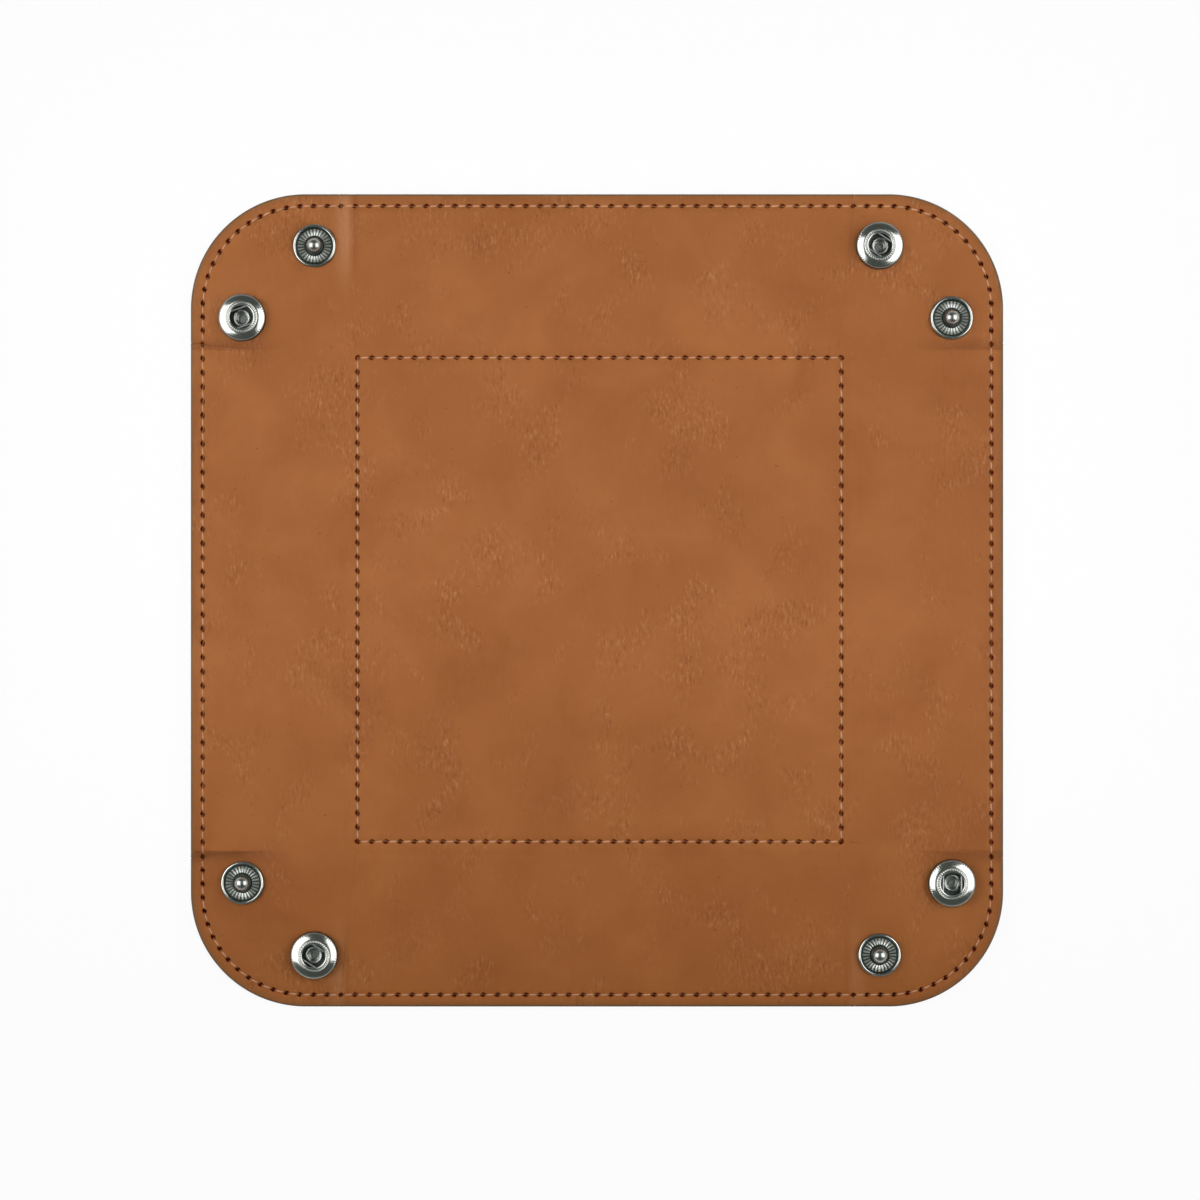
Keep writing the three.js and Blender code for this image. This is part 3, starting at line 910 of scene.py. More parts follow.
def post_hole(cutters, node, radius):
    """Adds the hole that a snap's post goes through."""
    centre = node_centre(node)
    place = Matrix.Translation((centre.x, centre.y, 0))
    bmesh.ops.create_cone(
        cutters, cap_ends=True, segments=40, radius1=radius, radius2=radius, depth=POST_HOLE_LENGTH,
        matrix=place,
    )


def make_sheet(
    name, lay, materials, plan, upper, corners, quarter=0, mirror=False, inset=0, bends=(), holes=(),
    closed=False, board=None, post=None,
):
    """One panel of one sheet, with its rounded edge and its needle holes.

    The plan draws it flat at the right wall or the back right corner, and it is turned from there to its own
    quarter. A lower sheet also gets the pockets for its board and for the gussets at these corners.
    """
    bm = bmesh.new()
    plan(bm)
    turned(bm, quarter, mirror)
    level = upper_level if upper else lower_level
    for vert in bm.verts:
        vert.co.z = level(lay, vert.co.x, vert.co.y)
    bends = [[quarter_point(part, quarter, mirror) for part in bend] for bend in bends]
    wrap_edges(bm, lay, inset, upper, bends)
    piece = new_object(name, bm, materials)
    cutters = bmesh.new()
    for place, direction in zip(holes, headings(holes, closed)):
        add_needle_hole(cutters, lay, place, direction, level(lay, place.x, place.y), downwards=upper)
    if post:
        post_hole(cutters, *post)
    if not upper:
        if board:
            board_pocket(cutters, board)
        for corner in corners:
            add_gusset(cutters, lay, corner, GUSSET_ROOM)
    if len(cutters.verts):
        cut_away(piece, cutters)
    else:
        cutters.free()
    smooth(piece)
    mark_leather(piece, lay)
    return piece


class Finish:
    """One node material, built a node at a time."""

    def __init__(self, name):
        self.material = bpy.data.materials.new(name)
        self.material.use_nodes = True
        self.tree = self.material.node_tree
        self.tree.nodes.clear()
        output = self.node("ShaderNodeOutputMaterial")
        self.shader = self.node("ShaderNodeBsdfPrincipled")
        self.tree.links.new(self.shader.outputs["BSDF"], output.inputs["Surface"])

    def node(self, kind, inputs=(), **settings):
        """A new node with these inputs and settings."""
        made = self.tree.nodes.new(kind)
        for name, value in settings.items():
            setattr(made, name, value)
        for name, value in dict(inputs).items():
            self.put(made.inputs[name], value)
        return made

    def put(self, socket, value):
        """Links an output to a socket, or sets the socket's own value."""
        if isinstance(value, bpy.types.NodeSocket):
            self.tree.links.new(value, socket)
        elif hasattr(value, "__len__") and len(value) == 3 and len(socket.default_value) == 4:
            socket.default_value = (*value, 1)
        else:
            socket.default_value = value

    def attribute(self, name, output):
        """An attribute of the piece."""
        return self.node("ShaderNodeAttribute", attribute_name=name).outputs[output]

    def places(self):
        """Object coordinates."""
        return self.node("ShaderNodeTexCoord").outputs["Object"]

    def stretched(self, place, scale, turn=0.0):
        """A place scaled and turned before a pattern reads it."""
        inputs = {"Vector": place, "Scale": scale, "Rotation": (0, 0, turn)}
        return self.node("ShaderNodeMapping", inputs).outputs["Vector"]

    def clouds(self, place, scale, detail=3.0, roughness=0.55, distortion=0.0):
        """Cloudy noise between 0 and 1."""
        inputs = {"Vector": place, "Scale": scale, "Detail": detail}
        inputs |= {"Roughness": roughness, "Distortion": distortion}
        return self.node("ShaderNodeTexNoise", inputs).outputs["Fac"]

    def cells(self, place, scale, feature="F1"):
        """Cells like leather grain."""
        inputs = {"Vector": place, "Scale": scale}
        return self.node("ShaderNodeTexVoronoi", inputs, feature=feature).outputs["Distance"]

    def spread(self, value, low, high, to_low=0.0, to_high=1.0):
        """A value moved from one range to another."""
        inputs = {"Value": value, "From Min": low, "From Max": high, "To Min": to_low, "To Max": to_high}
        return self.node("ShaderNodeMapRange", inputs).outputs["Result"]

    def sum(self, kind, first, second):
        """Two values joined by arithmetic."""
        return self.node("ShaderNodeMath", {0: first, 1: second}, operation=kind).outputs["Value"]

    def mix(self, share, first, second):
        """Two colours mixed by a share."""
        return self.node("ShaderNodeMix", {0: share, 6: first, 7: second}, data_type="RGBA").outputs[2]

    def relief(self, height, distance, strength=1.0, below=None):
        """Fine relief from a height."""
        inputs = {"Strength": strength, "Distance": distance, "Height": height}
        if below is not None:
            inputs["Normal"] = below
        return self.node("ShaderNodeBump", inputs).outputs["Normal"]

    def finish(self, **sockets):
        """Sets the shader's own sockets and gives the material."""
        for name, value in sockets.items():
            self.put(self.shader.inputs[name.replace("_", " ")], value)
        return self.material


def leather_material(colours):
    """Smooth tan leatherette: soft blotches, fine crackle, streaks, painted highlight and shade at the creases
    and a dull band at the rim.
    """
    made = Finish("tan_leatherette")
    place = made.attribute("flat_place", "Vector")
    crease = made.attribute("crease", "Fac")
    blotch = made.spread(made.clouds(place, 46, 4, 0.5, 0.5), 0.34, 0.66)
    patch = made.spread(made.clouds(place, 150, 4, 0.55, 0.5), 0.35, 0.65)
    streak = made.spread(made.clouds(made.stretched(place, (1300, 190, 300), 0.1), 1.0, 3, 0.6), 0.42, 0.72)
    rough_patch = made.spread(made.clouds(place, 68, 3, 0.55, 0.4), 0.5, 0.64)
    crackle = made.clouds(made.stretched(place, (1600, 520, 600), 0.2), 1.0, 3, 0.7, 0.35)
    raised = made.sum("MULTIPLY", made.spread(crackle, 0.54, 0.68), rough_patch)
    sunk = made.sum("MULTIPLY", made.spread(crackle, 0.46, 0.34), rough_patch)
    fleck = made.spread(made.clouds(place, 700, 2, 0.5), 0.71, 0.77)
    colour = made.mix(blotch, colours.leather_dark, colours.leather_light)
    colour = made.mix(made.spread(patch, 0, 1, 0.1, 0.6), colour, colours.leather)
    colour = made.mix(made.spread(streak, 0, 1, 0.0, 0.18), colour, colours.leather_light)
    colour = made.mix(made.spread(raised, 0, 1, 0.0, 0.5), colour, colours.scuff)
    colour = made.mix(made.spread(sunk, 0, 1, 0.0, 0.36), colour, colours.crease)
    colour = made.mix(made.spread(fleck, 0, 1, 0.0, 0.4), colour, colours.crease)
    # Painted highlight beside pale crease marks and painted shade beside dark ones.
    colour = made.mix(made.spread(crease, 0.02, 1.0, 0.0, 0.55), colour, colours.scuff)
    colour = made.mix(made.spread(crease, -0.02, -1.0, 0.0, 0.62), colour, colours.crease)
    rim = made.attribute("rim", "Fac")
    colour = made.mix(made.spread(rim, 0, 1, 0.0, 0.32), colour, colours.edge)
    grain = made.cells(place, 1500, "SMOOTH_F1")
    wrinkle = made.clouds(made.stretched(place, (520, 260, 300), 0.3), 1.0, 4, 0.6, 0.8)
    pores = made.clouds(place, 4200, 2, 0.5)
    normal = made.relief(wrinkle, 0.12 * MM, 0.6)
    normal = made.relief(raised, 0.06 * MM, 0.8, normal)
    normal = made.relief(grain, 0.03 * MM, 0.5, normal)
    normal = made.relief(pores, 0.012 * MM, 0.4, normal)
    gloss = made.spread(made.clouds(place, 300, 3, 0.6), 0.3, 0.7, 0.46, 0.62)
    material = made.finish(Base_Color=colour, Roughness=gloss, Normal=normal)
    made.shader.inputs["Specular IOR Level"].default_value = 0.14
    return material


def edge_material(colours):
    """Painted cut edge of the leatherette."""
    made = Finish("painted_edge")
    place = made.attribute("flat_place", "Vector")
    cloud = made.spread(made.clouds(place, 900, 3, 0.6), 0.3, 0.7)
    dark = tuple(part * 0.62 for part in colours.edge)
    colour = made.mix(cloud, dark, colours.edge)
    layers = made.clouds(made.stretched(place, (200, 200, 6000)), 1.0, 2, 0.5)
    normal = made.relief(layers, 0.03 * MM, 0.6)
    return made.finish(Base_Color=colour, Roughness=0.58, Normal=normal)


def hole_material(colours):
    """Dark inside of the needle holes."""
    made = Finish("needle_hole")
    place = made.attribute("flat_place", "Vector")
    cloud = made.spread(made.clouds(place, 1800, 2, 0.5), 0.3, 0.7)
    dark = tuple(part * 0.45 for part in colours.hole)
    colour = made.mix(cloud, dark, colours.hole)
    material = made.finish(Base_Color=colour, Roughness=0.8)
    made.shader.inputs["Specular IOR Level"].default_value = 0.05
    return material


def thread_material(colours):
    """Twisted sewing thread, with its lay running round each stitch, darker between its strands as painted
    shade.
    """
    made = Finish("sewing_thread")
    parts = made.node("ShaderNodeSeparateXYZ", {0: made.node("ShaderNodeUVMap").outputs["UV"]})
    turns = made.sum("ADD", parts.outputs["X"], made.sum("MULTIPLY", parts.outputs["Y"], LAY_TURNS))
    wave = made.sum("SINE", made.sum("MULTIPLY", turns, 2 * math.pi * STRANDS), 0.0)
    lay_of_thread = made.spread(wave, -1, 1)
    shade = made.spread(made.clouds(made.places(), 260, 2, 0.5), 0.3, 0.7)
    # The lay darkens the colour between the strands, where the relief is low: painted shade.
    dark = tuple(part * 0.55 for part in colours.thread)
    deep = tuple(part * 0.78 for part in colours.thread)
    colour = made.mix(lay_of_thread, dark, colours.thread)
    colour = made.mix(made.spread(shade, 0, 1, 0, 0.35), colour, deep)
    normal = made.relief(lay_of_thread, 0.06 * MM, 0.8)
    material = made.finish(Base_Color=colour, Roughness=0.62, Normal=normal)
    made.shader.inputs["Sheen Weight"].default_value = 0.25
    return material


def metal_material(name, colour, low, high):
    """Plated metal with fine polishing marks."""
    made = Finish(name)
    place = made.places()
    mark = made.clouds(place, 1400, 3, 0.6)
    smear = made.clouds(place, 260, 2, 0.5)
    deep = tuple(part * 0.9 for part in colour)
    tint = made.mix(made.spread(smear, 0.3, 0.7), deep, colour)
    gloss = made.spread(mark, 0.3, 0.7, low, high)
    normal = made.relief(made.clouds(place, 5200, 2, 0.5), 0.004 * MM, 0.12)
    material = made.finish(Base_Color=tint, Roughness=gloss, Normal=normal)
    made.shader.inputs["Metallic"].default_value = 1.0
    return material


def board_material(colours):
    """Grey pressed board with fibres."""
    made = Finish("greyboard")
    place = made.places()
    fibre = made.clouds(made.stretched(place, (900, 2600, 900), 0.4), 1.0, 4, 0.6)
    speck = made.spread(made.clouds(place, 1700, 2, 0.5), 0.62, 0.7)
    dark = tuple(part * 0.6 for part in colours.board)
    colour = made.mix(made.spread(fibre, 0.3, 0.7, 0, 0.5), colours.board, dark)
    colour = made.mix(made.spread(speck, 0, 1, 0, 0.5), colour, dark)
    normal = made.relief(fibre, 0.05 * MM, 0.6)
    return made.finish(Base_Color=colour, Roughness=0.9, Normal=normal)


def material_once(name, maker, *values):
    """A material by name, made the first time it is asked for."""
    return bpy.data.materials.get(name) or maker(*values)


def sheet_materials(scene):
    """Leatherette, painted edge and needle holes, in the order of a sheet's material slots."""
    colours = scene.tray_colours
    return [
        material_once("tan_leatherette", leather_material, colours),
        material_once("painted_edge", edge_material, colours),
        material_once("needle_hole", hole_material, colours),
    ]


class TRAY_OT_floor_sheets(bpy.types.Operator):
    """Make the upper and lower leatherette of the floor"""

    bl_idname = "tray.floor_sheets"
    bl_label = "Floor sheets"

    def execute(self, context):
        lay = Layout(context.scene)
        materials = sheet_materials(context.scene)
        for upper, layer, node_layer in LAYERS:
            piece = make_sheet(
                f"floor_{layer}_sheet", lay, materials, lambda bm: floor_plan(bm, lay), upper,
                corners=range(4), holes=floor_seam(lay), closed=True, board="base_board",
            )
            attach(piece, "base")
            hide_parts(f"base_{node_layer}_leather")
        return {"FINISHED"}


class TRAY_OT_wall_sheets(bpy.types.Operator):
    """Make the upper and lower leatherette of the four walls, cut in rows along the fold"""

    bl_idname = "tray.wall_sheets"
    bl_label = "Wall sheets"

    def execute(self, context):
        lay = Layout(context.scene)
        materials = sheet_materials(context.scene)
        for quarter, wall in enumerate(WALLS):
            holes = [quarter_point(place, quarter) for place in wall_seam(lay)]
            for upper, layer, node_layer in LAYERS:
                inset = 0 if upper else lay.sheet.crease_inset
                piece = make_sheet(
                    f"{wall}_wall_{layer}_sheet", lay, materials, lambda bm: wall_plan(bm, lay, inset), upper,
                    corners=(quarter, quarter - 1), quarter=quarter, inset=inset, bends=wall_bends(lay),
                    holes=holes, board=f"{wall}_wall_board",
                )
                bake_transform(piece)
                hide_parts(f"{wall}_wall_{node_layer}_leather")
        return {"FINISHED"}


def bend_flap(piece):
    """Bakes the place of a piece of a corner flap into its mesh."""
    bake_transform(piece)


class TRAY_OT_corner_sheets(bpy.types.Operator):
    """Make the leatherette of the corners: two flaps and the narrow strip that they fold along"""

    bl_idname = "tray.corner_sheets"
    bl_label = "Corner sheets"

    def execute(self, context):
        lay = Layout(context.scene, is_flap=True)
        materials = sheet_materials(context.scene)
        for quarter, corner in enumerate(CORNERS):
            for upper, layer, node_layer in LAYERS:
                strip = make_sheet(
                    f"{corner}_fold_{layer}_strip", lay, materials, lambda bm: strip_plan(bm, lay), upper,
                    corners=(quarter,), quarter=quarter,
                )
                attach(strip, f"{corner}_fold")
                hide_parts(f"{corner}_fold_{node_layer}_leather")
                inset = 0 if upper else lay.sheet.crease_inset
                spacing = UPPER_FLAP_SPACING if upper else LOWER_FLAP_SPACING
                for mirror, snap in SNAP_HALVES:
                    flap = make_sheet(
                        f"{corner}_{snap}_flap_{layer}_sheet", lay, materials,
                        lambda bm: flap_plan(bm, lay, inset, spacing), upper,
                        corners=(quarter,), quarter=quarter, mirror=mirror, inset=inset,
                        bends=flap_bends(lay),
                        holes=[quarter_point(place, quarter, mirror) for place in flap_seam(lay)],
                        post=(f"{corner}_{snap}", POST_RADIUS[snap]),
                    )
                    bend_flap(flap)
                    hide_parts(f"{corner}_{snap}_flap_{node_layer}_leather")
        return {"FINISHED"}


class TRAY_OT_corner_gussets(bpy.types.Operator):
    """Make the leatherette inside each corner, between the floor and the corner's fold"""

    bl_idname = "tray.corner_gussets"
    bl_label = "Corner gussets"

    def execute(self, context):
        lay = Layout(context.scene)
        materials = sheet_materials(context.scene)
        for quarter, corner in enumerate(CORNERS):
            bm = bmesh.new()
            add_gusset(bm, lay, quarter, 0)
            piece = new_object(f"{corner}_gusset", bm, materials)
            smooth(piece)
            mark_leather(piece, lay)
            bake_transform(piece)
        return {"FINISHED"}


class TRAY_OT_crease_fillers(bpy.types.Operator):
    """Make the leatherette inside each crease, which fills its groove while the tray is flat"""

    bl_idname = "tray.crease_fillers"
    bl_label = "Crease fillers"

    def execute(self, context):
        lay = Layout(context.scene)
        materials = sheet_materials(context.scene)
        for quarter, corner in enumerate(CORNERS):
            for mirror, snap in SNAP_HALVES:
                wall = WALLS[(quarter + (1 if mirror else 0)) % 4]
                bm = bmesh.new()
                self.add_filler(bm, lay)
                turned(bm, quarter, mirror)
                bmesh.ops.recalc_face_normals(bm, faces=bm.faces)
                piece = new_object(f"{corner}_{snap}_crease_filler", bm, materials)
                mark_leather(piece, lay)
                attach(piece, f"{wall}_wall")
                slope = Vector((-math.sin(lay.crease_angle), math.cos(lay.crease_angle), 0))
                slope *= math.cos(lay.half_crease)
                slope.z = -math.sin(lay.half_crease)
                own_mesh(piece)
        return {"FINISHED"}

    def add_filler(self, bm, lay):
        """A long wedge along the crease beside the back right stud flap."""
        first = lay.fold + FILLER_START
        run = lay.half - FILLER_END - first
        tilt = math.tan(lay.crease_angle)
        centre = lay.crease_y + (first - lay.fold) * tilt
        half_width = lay.sheet.crease_inset - FILLER_ROOM
        section = [
            bm.verts.new((first, centre, lay.top - FILLER_DEPTH)),
            bm.verts.new((first, centre - half_width, lay.sheet.pinch + FILLER_WALL_LIFT)),
            bm.verts.new((first, centre + half_width, lay.sheet.corner_pinch + FILLER_FLAP_LIFT)),
        ]
        face = bm.faces.new(section)
        made = bmesh.ops.extrude_face_region(bm, geom=[face])["geom"]
        ends = [item for item in made if isinstance(item, bmesh.types.BMVert)]
        bmesh.ops.translate(bm, verts=ends, vec=(run, run * tilt, 0))


class TRAY_OT_seams(bpy.types.Operator):
    """Sew the inner seam round the floor and the outer seam round the rim"""

    bl_idname = "tray.seams"
    bl_label = "Seams"

    def execute(self, context):
        lay = Layout(context.scene)
        thread = material_once("sewing_thread", thread_material, context.scene.tray_colours)
        floor = floor_seam(lay)
        for upper, layer, _ in LAYERS:
            piece = self.sew(f"floor_{layer}_stitches", lay, floor + floor[:1], upper, thread)
            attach(piece, "base")
            if upper:
                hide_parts("inner_seam_thread")
            for quarter in range(4):
                self.sew_quarter(lay, quarter, upper, layer, thread)
        return {"FINISHED"}

    def sew_quarter(self, lay, quarter, upper, layer, thread):
        """The outer seam along one wall and round the corner after it."""
        wall, corner = WALLS[quarter], CORNERS[quarter]
        holes = [quarter_point(place, quarter) for place in wall_seam(lay)]
        inset = UPPER_STITCH_ROOM if upper else lay.sheet.crease_inset + LOWER_STITCH_ROOM
        self.draw_in(holes, inset)
        holes.reverse()
        self.draw_in(holes, inset)
        piece = self.sew(f"{wall}_wall_{layer}_stitches", lay, holes, upper, thread)
        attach(piece, f"{wall}_wall")
        for mirror, snap in SNAP_HALVES:
            holes = [quarter_point(place, quarter, mirror) for place in flap_seam(lay)]
            self.draw_in(holes, inset)
            piece = self.sew(f"{corner}_{snap}_flap_{layer}_stitches", lay, holes, upper, thread)
            bend_flap(piece)
        last = flap_seam(lay)[-1]
        pair = [quarter_point(last, quarter), quarter_point(last, quarter, True)]
        piece = self.sew(f"{corner}_fold_{layer}_stitch", lay, pair, upper, thread)
        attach(piece, f"{corner}_fold")

    def draw_in(self, holes, inset):
        """Moves the first place of a seam off the crease, which closes there as the tray folds."""
        holes[0] = holes[0] + (holes[1] - holes[0]).normalized() * inset

    def sew(self, name, lay, holes, upper, thread):
        """Stitches from each needle hole to the next."""
        bm = bmesh.new()
        bm.loops.layers.uv.new("lay")
        for start, end in zip(holes, holes[1:]):
            self.add_stitch(bm, lay, start, end, upper)
        piece = new_object(name, bm, [thread])
        smooth(piece, 180)
        return piece

    def add_stitch(self, bm, lay, start, end, upper):
        """One stitch, arched between two holes and dipping into both."""
        width = lay.seams.thread
        span = (end - start).length * STITCH_SHARE
        sign = 1 if upper else -1
        middle = (start + end) / 2
        level = (upper_level if upper else lower_level)(lay, middle.x, middle.y)
        made = bmesh.ops.create_uvsphere(bm, u_segments=6, v_segments=8, radius=0.5, calc_uvs=True)["verts"]
        matrix = Matrix.Diagonal((span, width, width * STITCH_FLAT, 1))
        matrix = matrix @ Matrix.Rotation(QUARTER_TURN, 4, "Y")
        bmesh.ops.transform(bm, matrix=matrix, verts=made)
        for vert in made:
            share = 2 * vert.co.x / span
            vert.co.y *= 1 + STITCH_FLARE * share * share
            vert.co.z -= STITCH_DIP * abs(share) ** 3 - STITCH_RISE
            vert.co.z *= sign
        heading = math.atan2(end.y - start.y, end.x - start.x) + STITCH_SLANT
        place = Matrix.Translation((middle.x, middle.y, level)) @ Matrix.Rotation(heading, 4, "Z")
        bmesh.ops.transform(bm, matrix=place, verts=made)
        if not upper:
            bmesh.ops.reverse_faces(bm, faces=list({face for vert in made for face in vert.link_faces}))


def spin_profile(bm, points, steps, closed=False):
    """Turns a profile of radius and height, in millimetres, right round."""
    verts = [bm.verts.new((radius * MM, 0, height * MM)) for radius, height in points]
    edges = [bm.edges.new(pair) for pair in zip(verts, verts[1:])]
    if closed:
        edges.append(bm.edges.new((verts[-1], verts[0])))
    bmesh.ops.spin(
        bm, geom=verts + edges, cent=(0, 0, 0), axis=(0, 0, 1), angle=2 * math.pi, steps=steps, use_merge=True
    )
    bmesh.ops.remove_doubles(bm, verts=bm.verts, dist=SAME_POINT / 2)
    bmesh.ops.recalc_face_normals(bm, faces=bm.faces)


def rounded(points, radius, segments=4):
    """The same profile with its sharp turns rounded."""
    made = [points[0]]
    for before, corner, after in zip(points, points[1:], points[2:]):
        corner_place = Vector(corner)
        back = Vector(before) - corner_place
        forth = Vector(after) - corner_place
        reach = min(radius, back.length * 0.45, forth.length * 0.45)
        first = corner_place + back.normalized() * reach
        last = corner_place + forth.normalized() * reach
        for step in range(segments + 1):
            share = step / segments
            pull = first.lerp(corner_place, share).lerp(corner_place.lerp(last, share), share)
            made.append((pull.x, pull.y))
    made.append(points[-1])
    return made


def node_centre(node):
    """Middle of a CAD node."""
    low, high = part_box(node)
    return (low + high) / 2


def place_snap(bm, node, lay):
    """Moves a turned piece onto the leatherette where its CAD node is."""
    centre = node_centre(node)
    bmesh.ops.translate(bm, verts=bm.verts, vec=(centre.x, centre.y, lay.top))


def snap_materials(scene):
    """Bright nickel; brushed for balls and posts, darker to paint their dim reflection and shade; satin for
    flutes and heads; dark in recesses and at edges as painted shade; and steel.
    """
    colours = scene.tray_colours
    plating = {
        "bright_nickel": (colours.nickel, 0.14, 0.22),
        "brushed_nickel": (colours.worn_nickel, 0.23, 0.31),
        "satin_nickel": (colours.nickel, 0.28, 0.36),
        "dark_nickel": (colours.dark_nickel, 0.3, 0.42),
        "spring_steel": (colours.steel, 0.34, 0.44),
    }
    return [material_once(name, metal_material, name, *values) for name, values in plating.items()]


# Profiles of the snaps, each point as its radius and its height over the leatherette, in millimetres.
BALL_RADIUS = 2.03
BALL_HEIGHT = 1.37
BALL_TURNS = [step * QUARTER_TURN / 12 for step in range(-3, 12)]
STUD_BALL = [
    (BALL_RADIUS * math.cos(turn), BALL_HEIGHT + BALL_RADIUS * math.sin(turn)) for turn in BALL_TURNS
]

STUD_PROFILE = [
    (0, 0.05), (4.95, 0.05), (5.4, 0.3), (5.4, 0.6), (5.22, 0.9), (4.95, 1.0), (4.7, 0.9), (4.48, 0.3),
    (4.36, 0.3), (4.22, 0.42), (4.1, 0.42), (3.75, 0.42), (3.4, 0.42), (3.05, 0.42), (2.7, 0.42), (2.5, 0.42),
    (2.36, 0.3), (1.9, 0.3), (1.84, 0.55), *STUD_BALL, (0, 3.4),
]

RIVET_PROFILE = [
    (0, -3.0), (3.4, -3.0), (4.5, -2.85), (4.9, -2.5), (4.9, -2.32), (4.7, -2.3), (0.95, -2.3), (0.95, 0.3),
    (0, 0.3),
]

SOCKET_PROFILE = [
    (1.68, 0.05), (5.5, 0.05), (5.85, 0.2), (5.94, 0.5), (5.94, 1.0), (5.94, 1.4), (5.9, 1.7), (5.75, 1.94),
    (5.5, 2.1), (5.2, 2.24), (4.85, 2.38), (4.5, 2.51), (4.2, 2.6), (3.95, 2.65), (3.85, 2.6), (3.75, 2.72),
    (3.6, 2.83), (3.4, 2.89), (3.2, 2.9), (3.02, 2.82), (2.92, 2.68), (2.9, 2.5), (2.95, 2.38), (3.4, 2.28),
    (5.0, 2.05), (5.2, 1.6), (5.1, 0.62), (1.68, 0.6),
]

CAP_PROFILE = [
    (0, -3.0), (4.6, -3.0), (5.45, -2.85), (5.8, -2.55), (5.8, -2.35), (5.6, -2.3), (1.5, -2.3), (1.5, 0.5),
    (1.62, 0.62), (2.1, 0.66), (2.26, 0.78), (2.14, 0.92), (1.84, 0.98), (1.6, 0.94), (1.44, 0.8), (1.4, 0.5),
    (1.4, -1.1), (1.2, -1.2), (0, -1.15),
]

# Steps in which the snaps' pieces are turned: plain heads, a stud for each of its flutes, and a socket.
HEAD_STEPS = 96
FLUTE_STEPS = 10
SOCKET_STEPS = 280

# Angle in degrees past which the snaps' edges are sharp.
SNAP_SHARP = 40

# Radii on a stud, from its middle out: top of the ball, past which the ball's flank and the recess round it
# are painted in shade, flutes, groove and rim, past which the edge is painted in shade.
BALL_TOP = 1.75 * MM
RECESS_END = 2.45 * MM
FLUTES_START = 2.5 * MM
FLUTES_END = 4.2 * MM
GROOVE_END = 4.65 * MM
STUD_EDGE = 5.25 * MM

# Heights on a stud: its flat underside ends under the first, and its flutes rise over the second.
STUD_UNDERSIDE = 0.2 * MM
FLUTES_LEVEL = 0.35 * MM

# A flute's height at its inner end, how much it rises outwards, how gently its inner and outer ends start,
# and the share of the way to the next flute that its side takes up.
FLUTE_RISE, FLUTE_SLOPE = 0.08 * MM, 0.12
FLUTE_INNER_END, FLUTE_OUTER_END = 0.2 * MM, 0.1 * MM
FLUTE_SIDE = 0.3

# Beads round a socket's mouth: radius of their ring, their reach and rise, and the height over which they
# stand.
BEAD_RING, BEAD_REACH, BEAD_RISE = 3.6 * MM, 0.24 * MM, 0.08 * MM
BEAD_LEVEL = 2.5 * MM

# Teeth round a socket's edge: height of their middle, their reach and depth.
TOOTH_LEVEL, TOOTH_REACH, TOOTH_DEPTH = 1.75 * MM, 0.6 * MM, 0.11 * MM

# Radii on a socket: where its teeth start, and its edge, which is painted in shade.
TEETH_START = 5.3 * MM
SOCKET_EDGE = 5.72 * MM

# Heights in a socket: where its inside starts, which is painted in shade, the top of the inside's floor, and
# the mouth.
INSIDE_START, INSIDE_FLOOR, MOUTH_LEVEL = 0.3 * MM, 0.8 * MM, 2.6 * MM

# A socket's spring: ends of its straight legs, and its height over the leatherette.
SPRING_BACK, SPRING_FRONT, SPRING_LEVEL = -3.9 * MM, 2.3 * MM, 2.12 * MM

# Height in a cap's post above which it is brushed, with a darker colour that paints shade in the post's cup
# and on its roll.
POST_INSIDE = -1.3 * MM


def flute_offset(place, flutes):
    """How far a place round a stud is from the nearest flute's ridge, as a share of their pitch."""
    return abs((math.atan2(place.y, place.x) * flutes / (2 * math.pi) + 0.5) % 1 - 0.5)


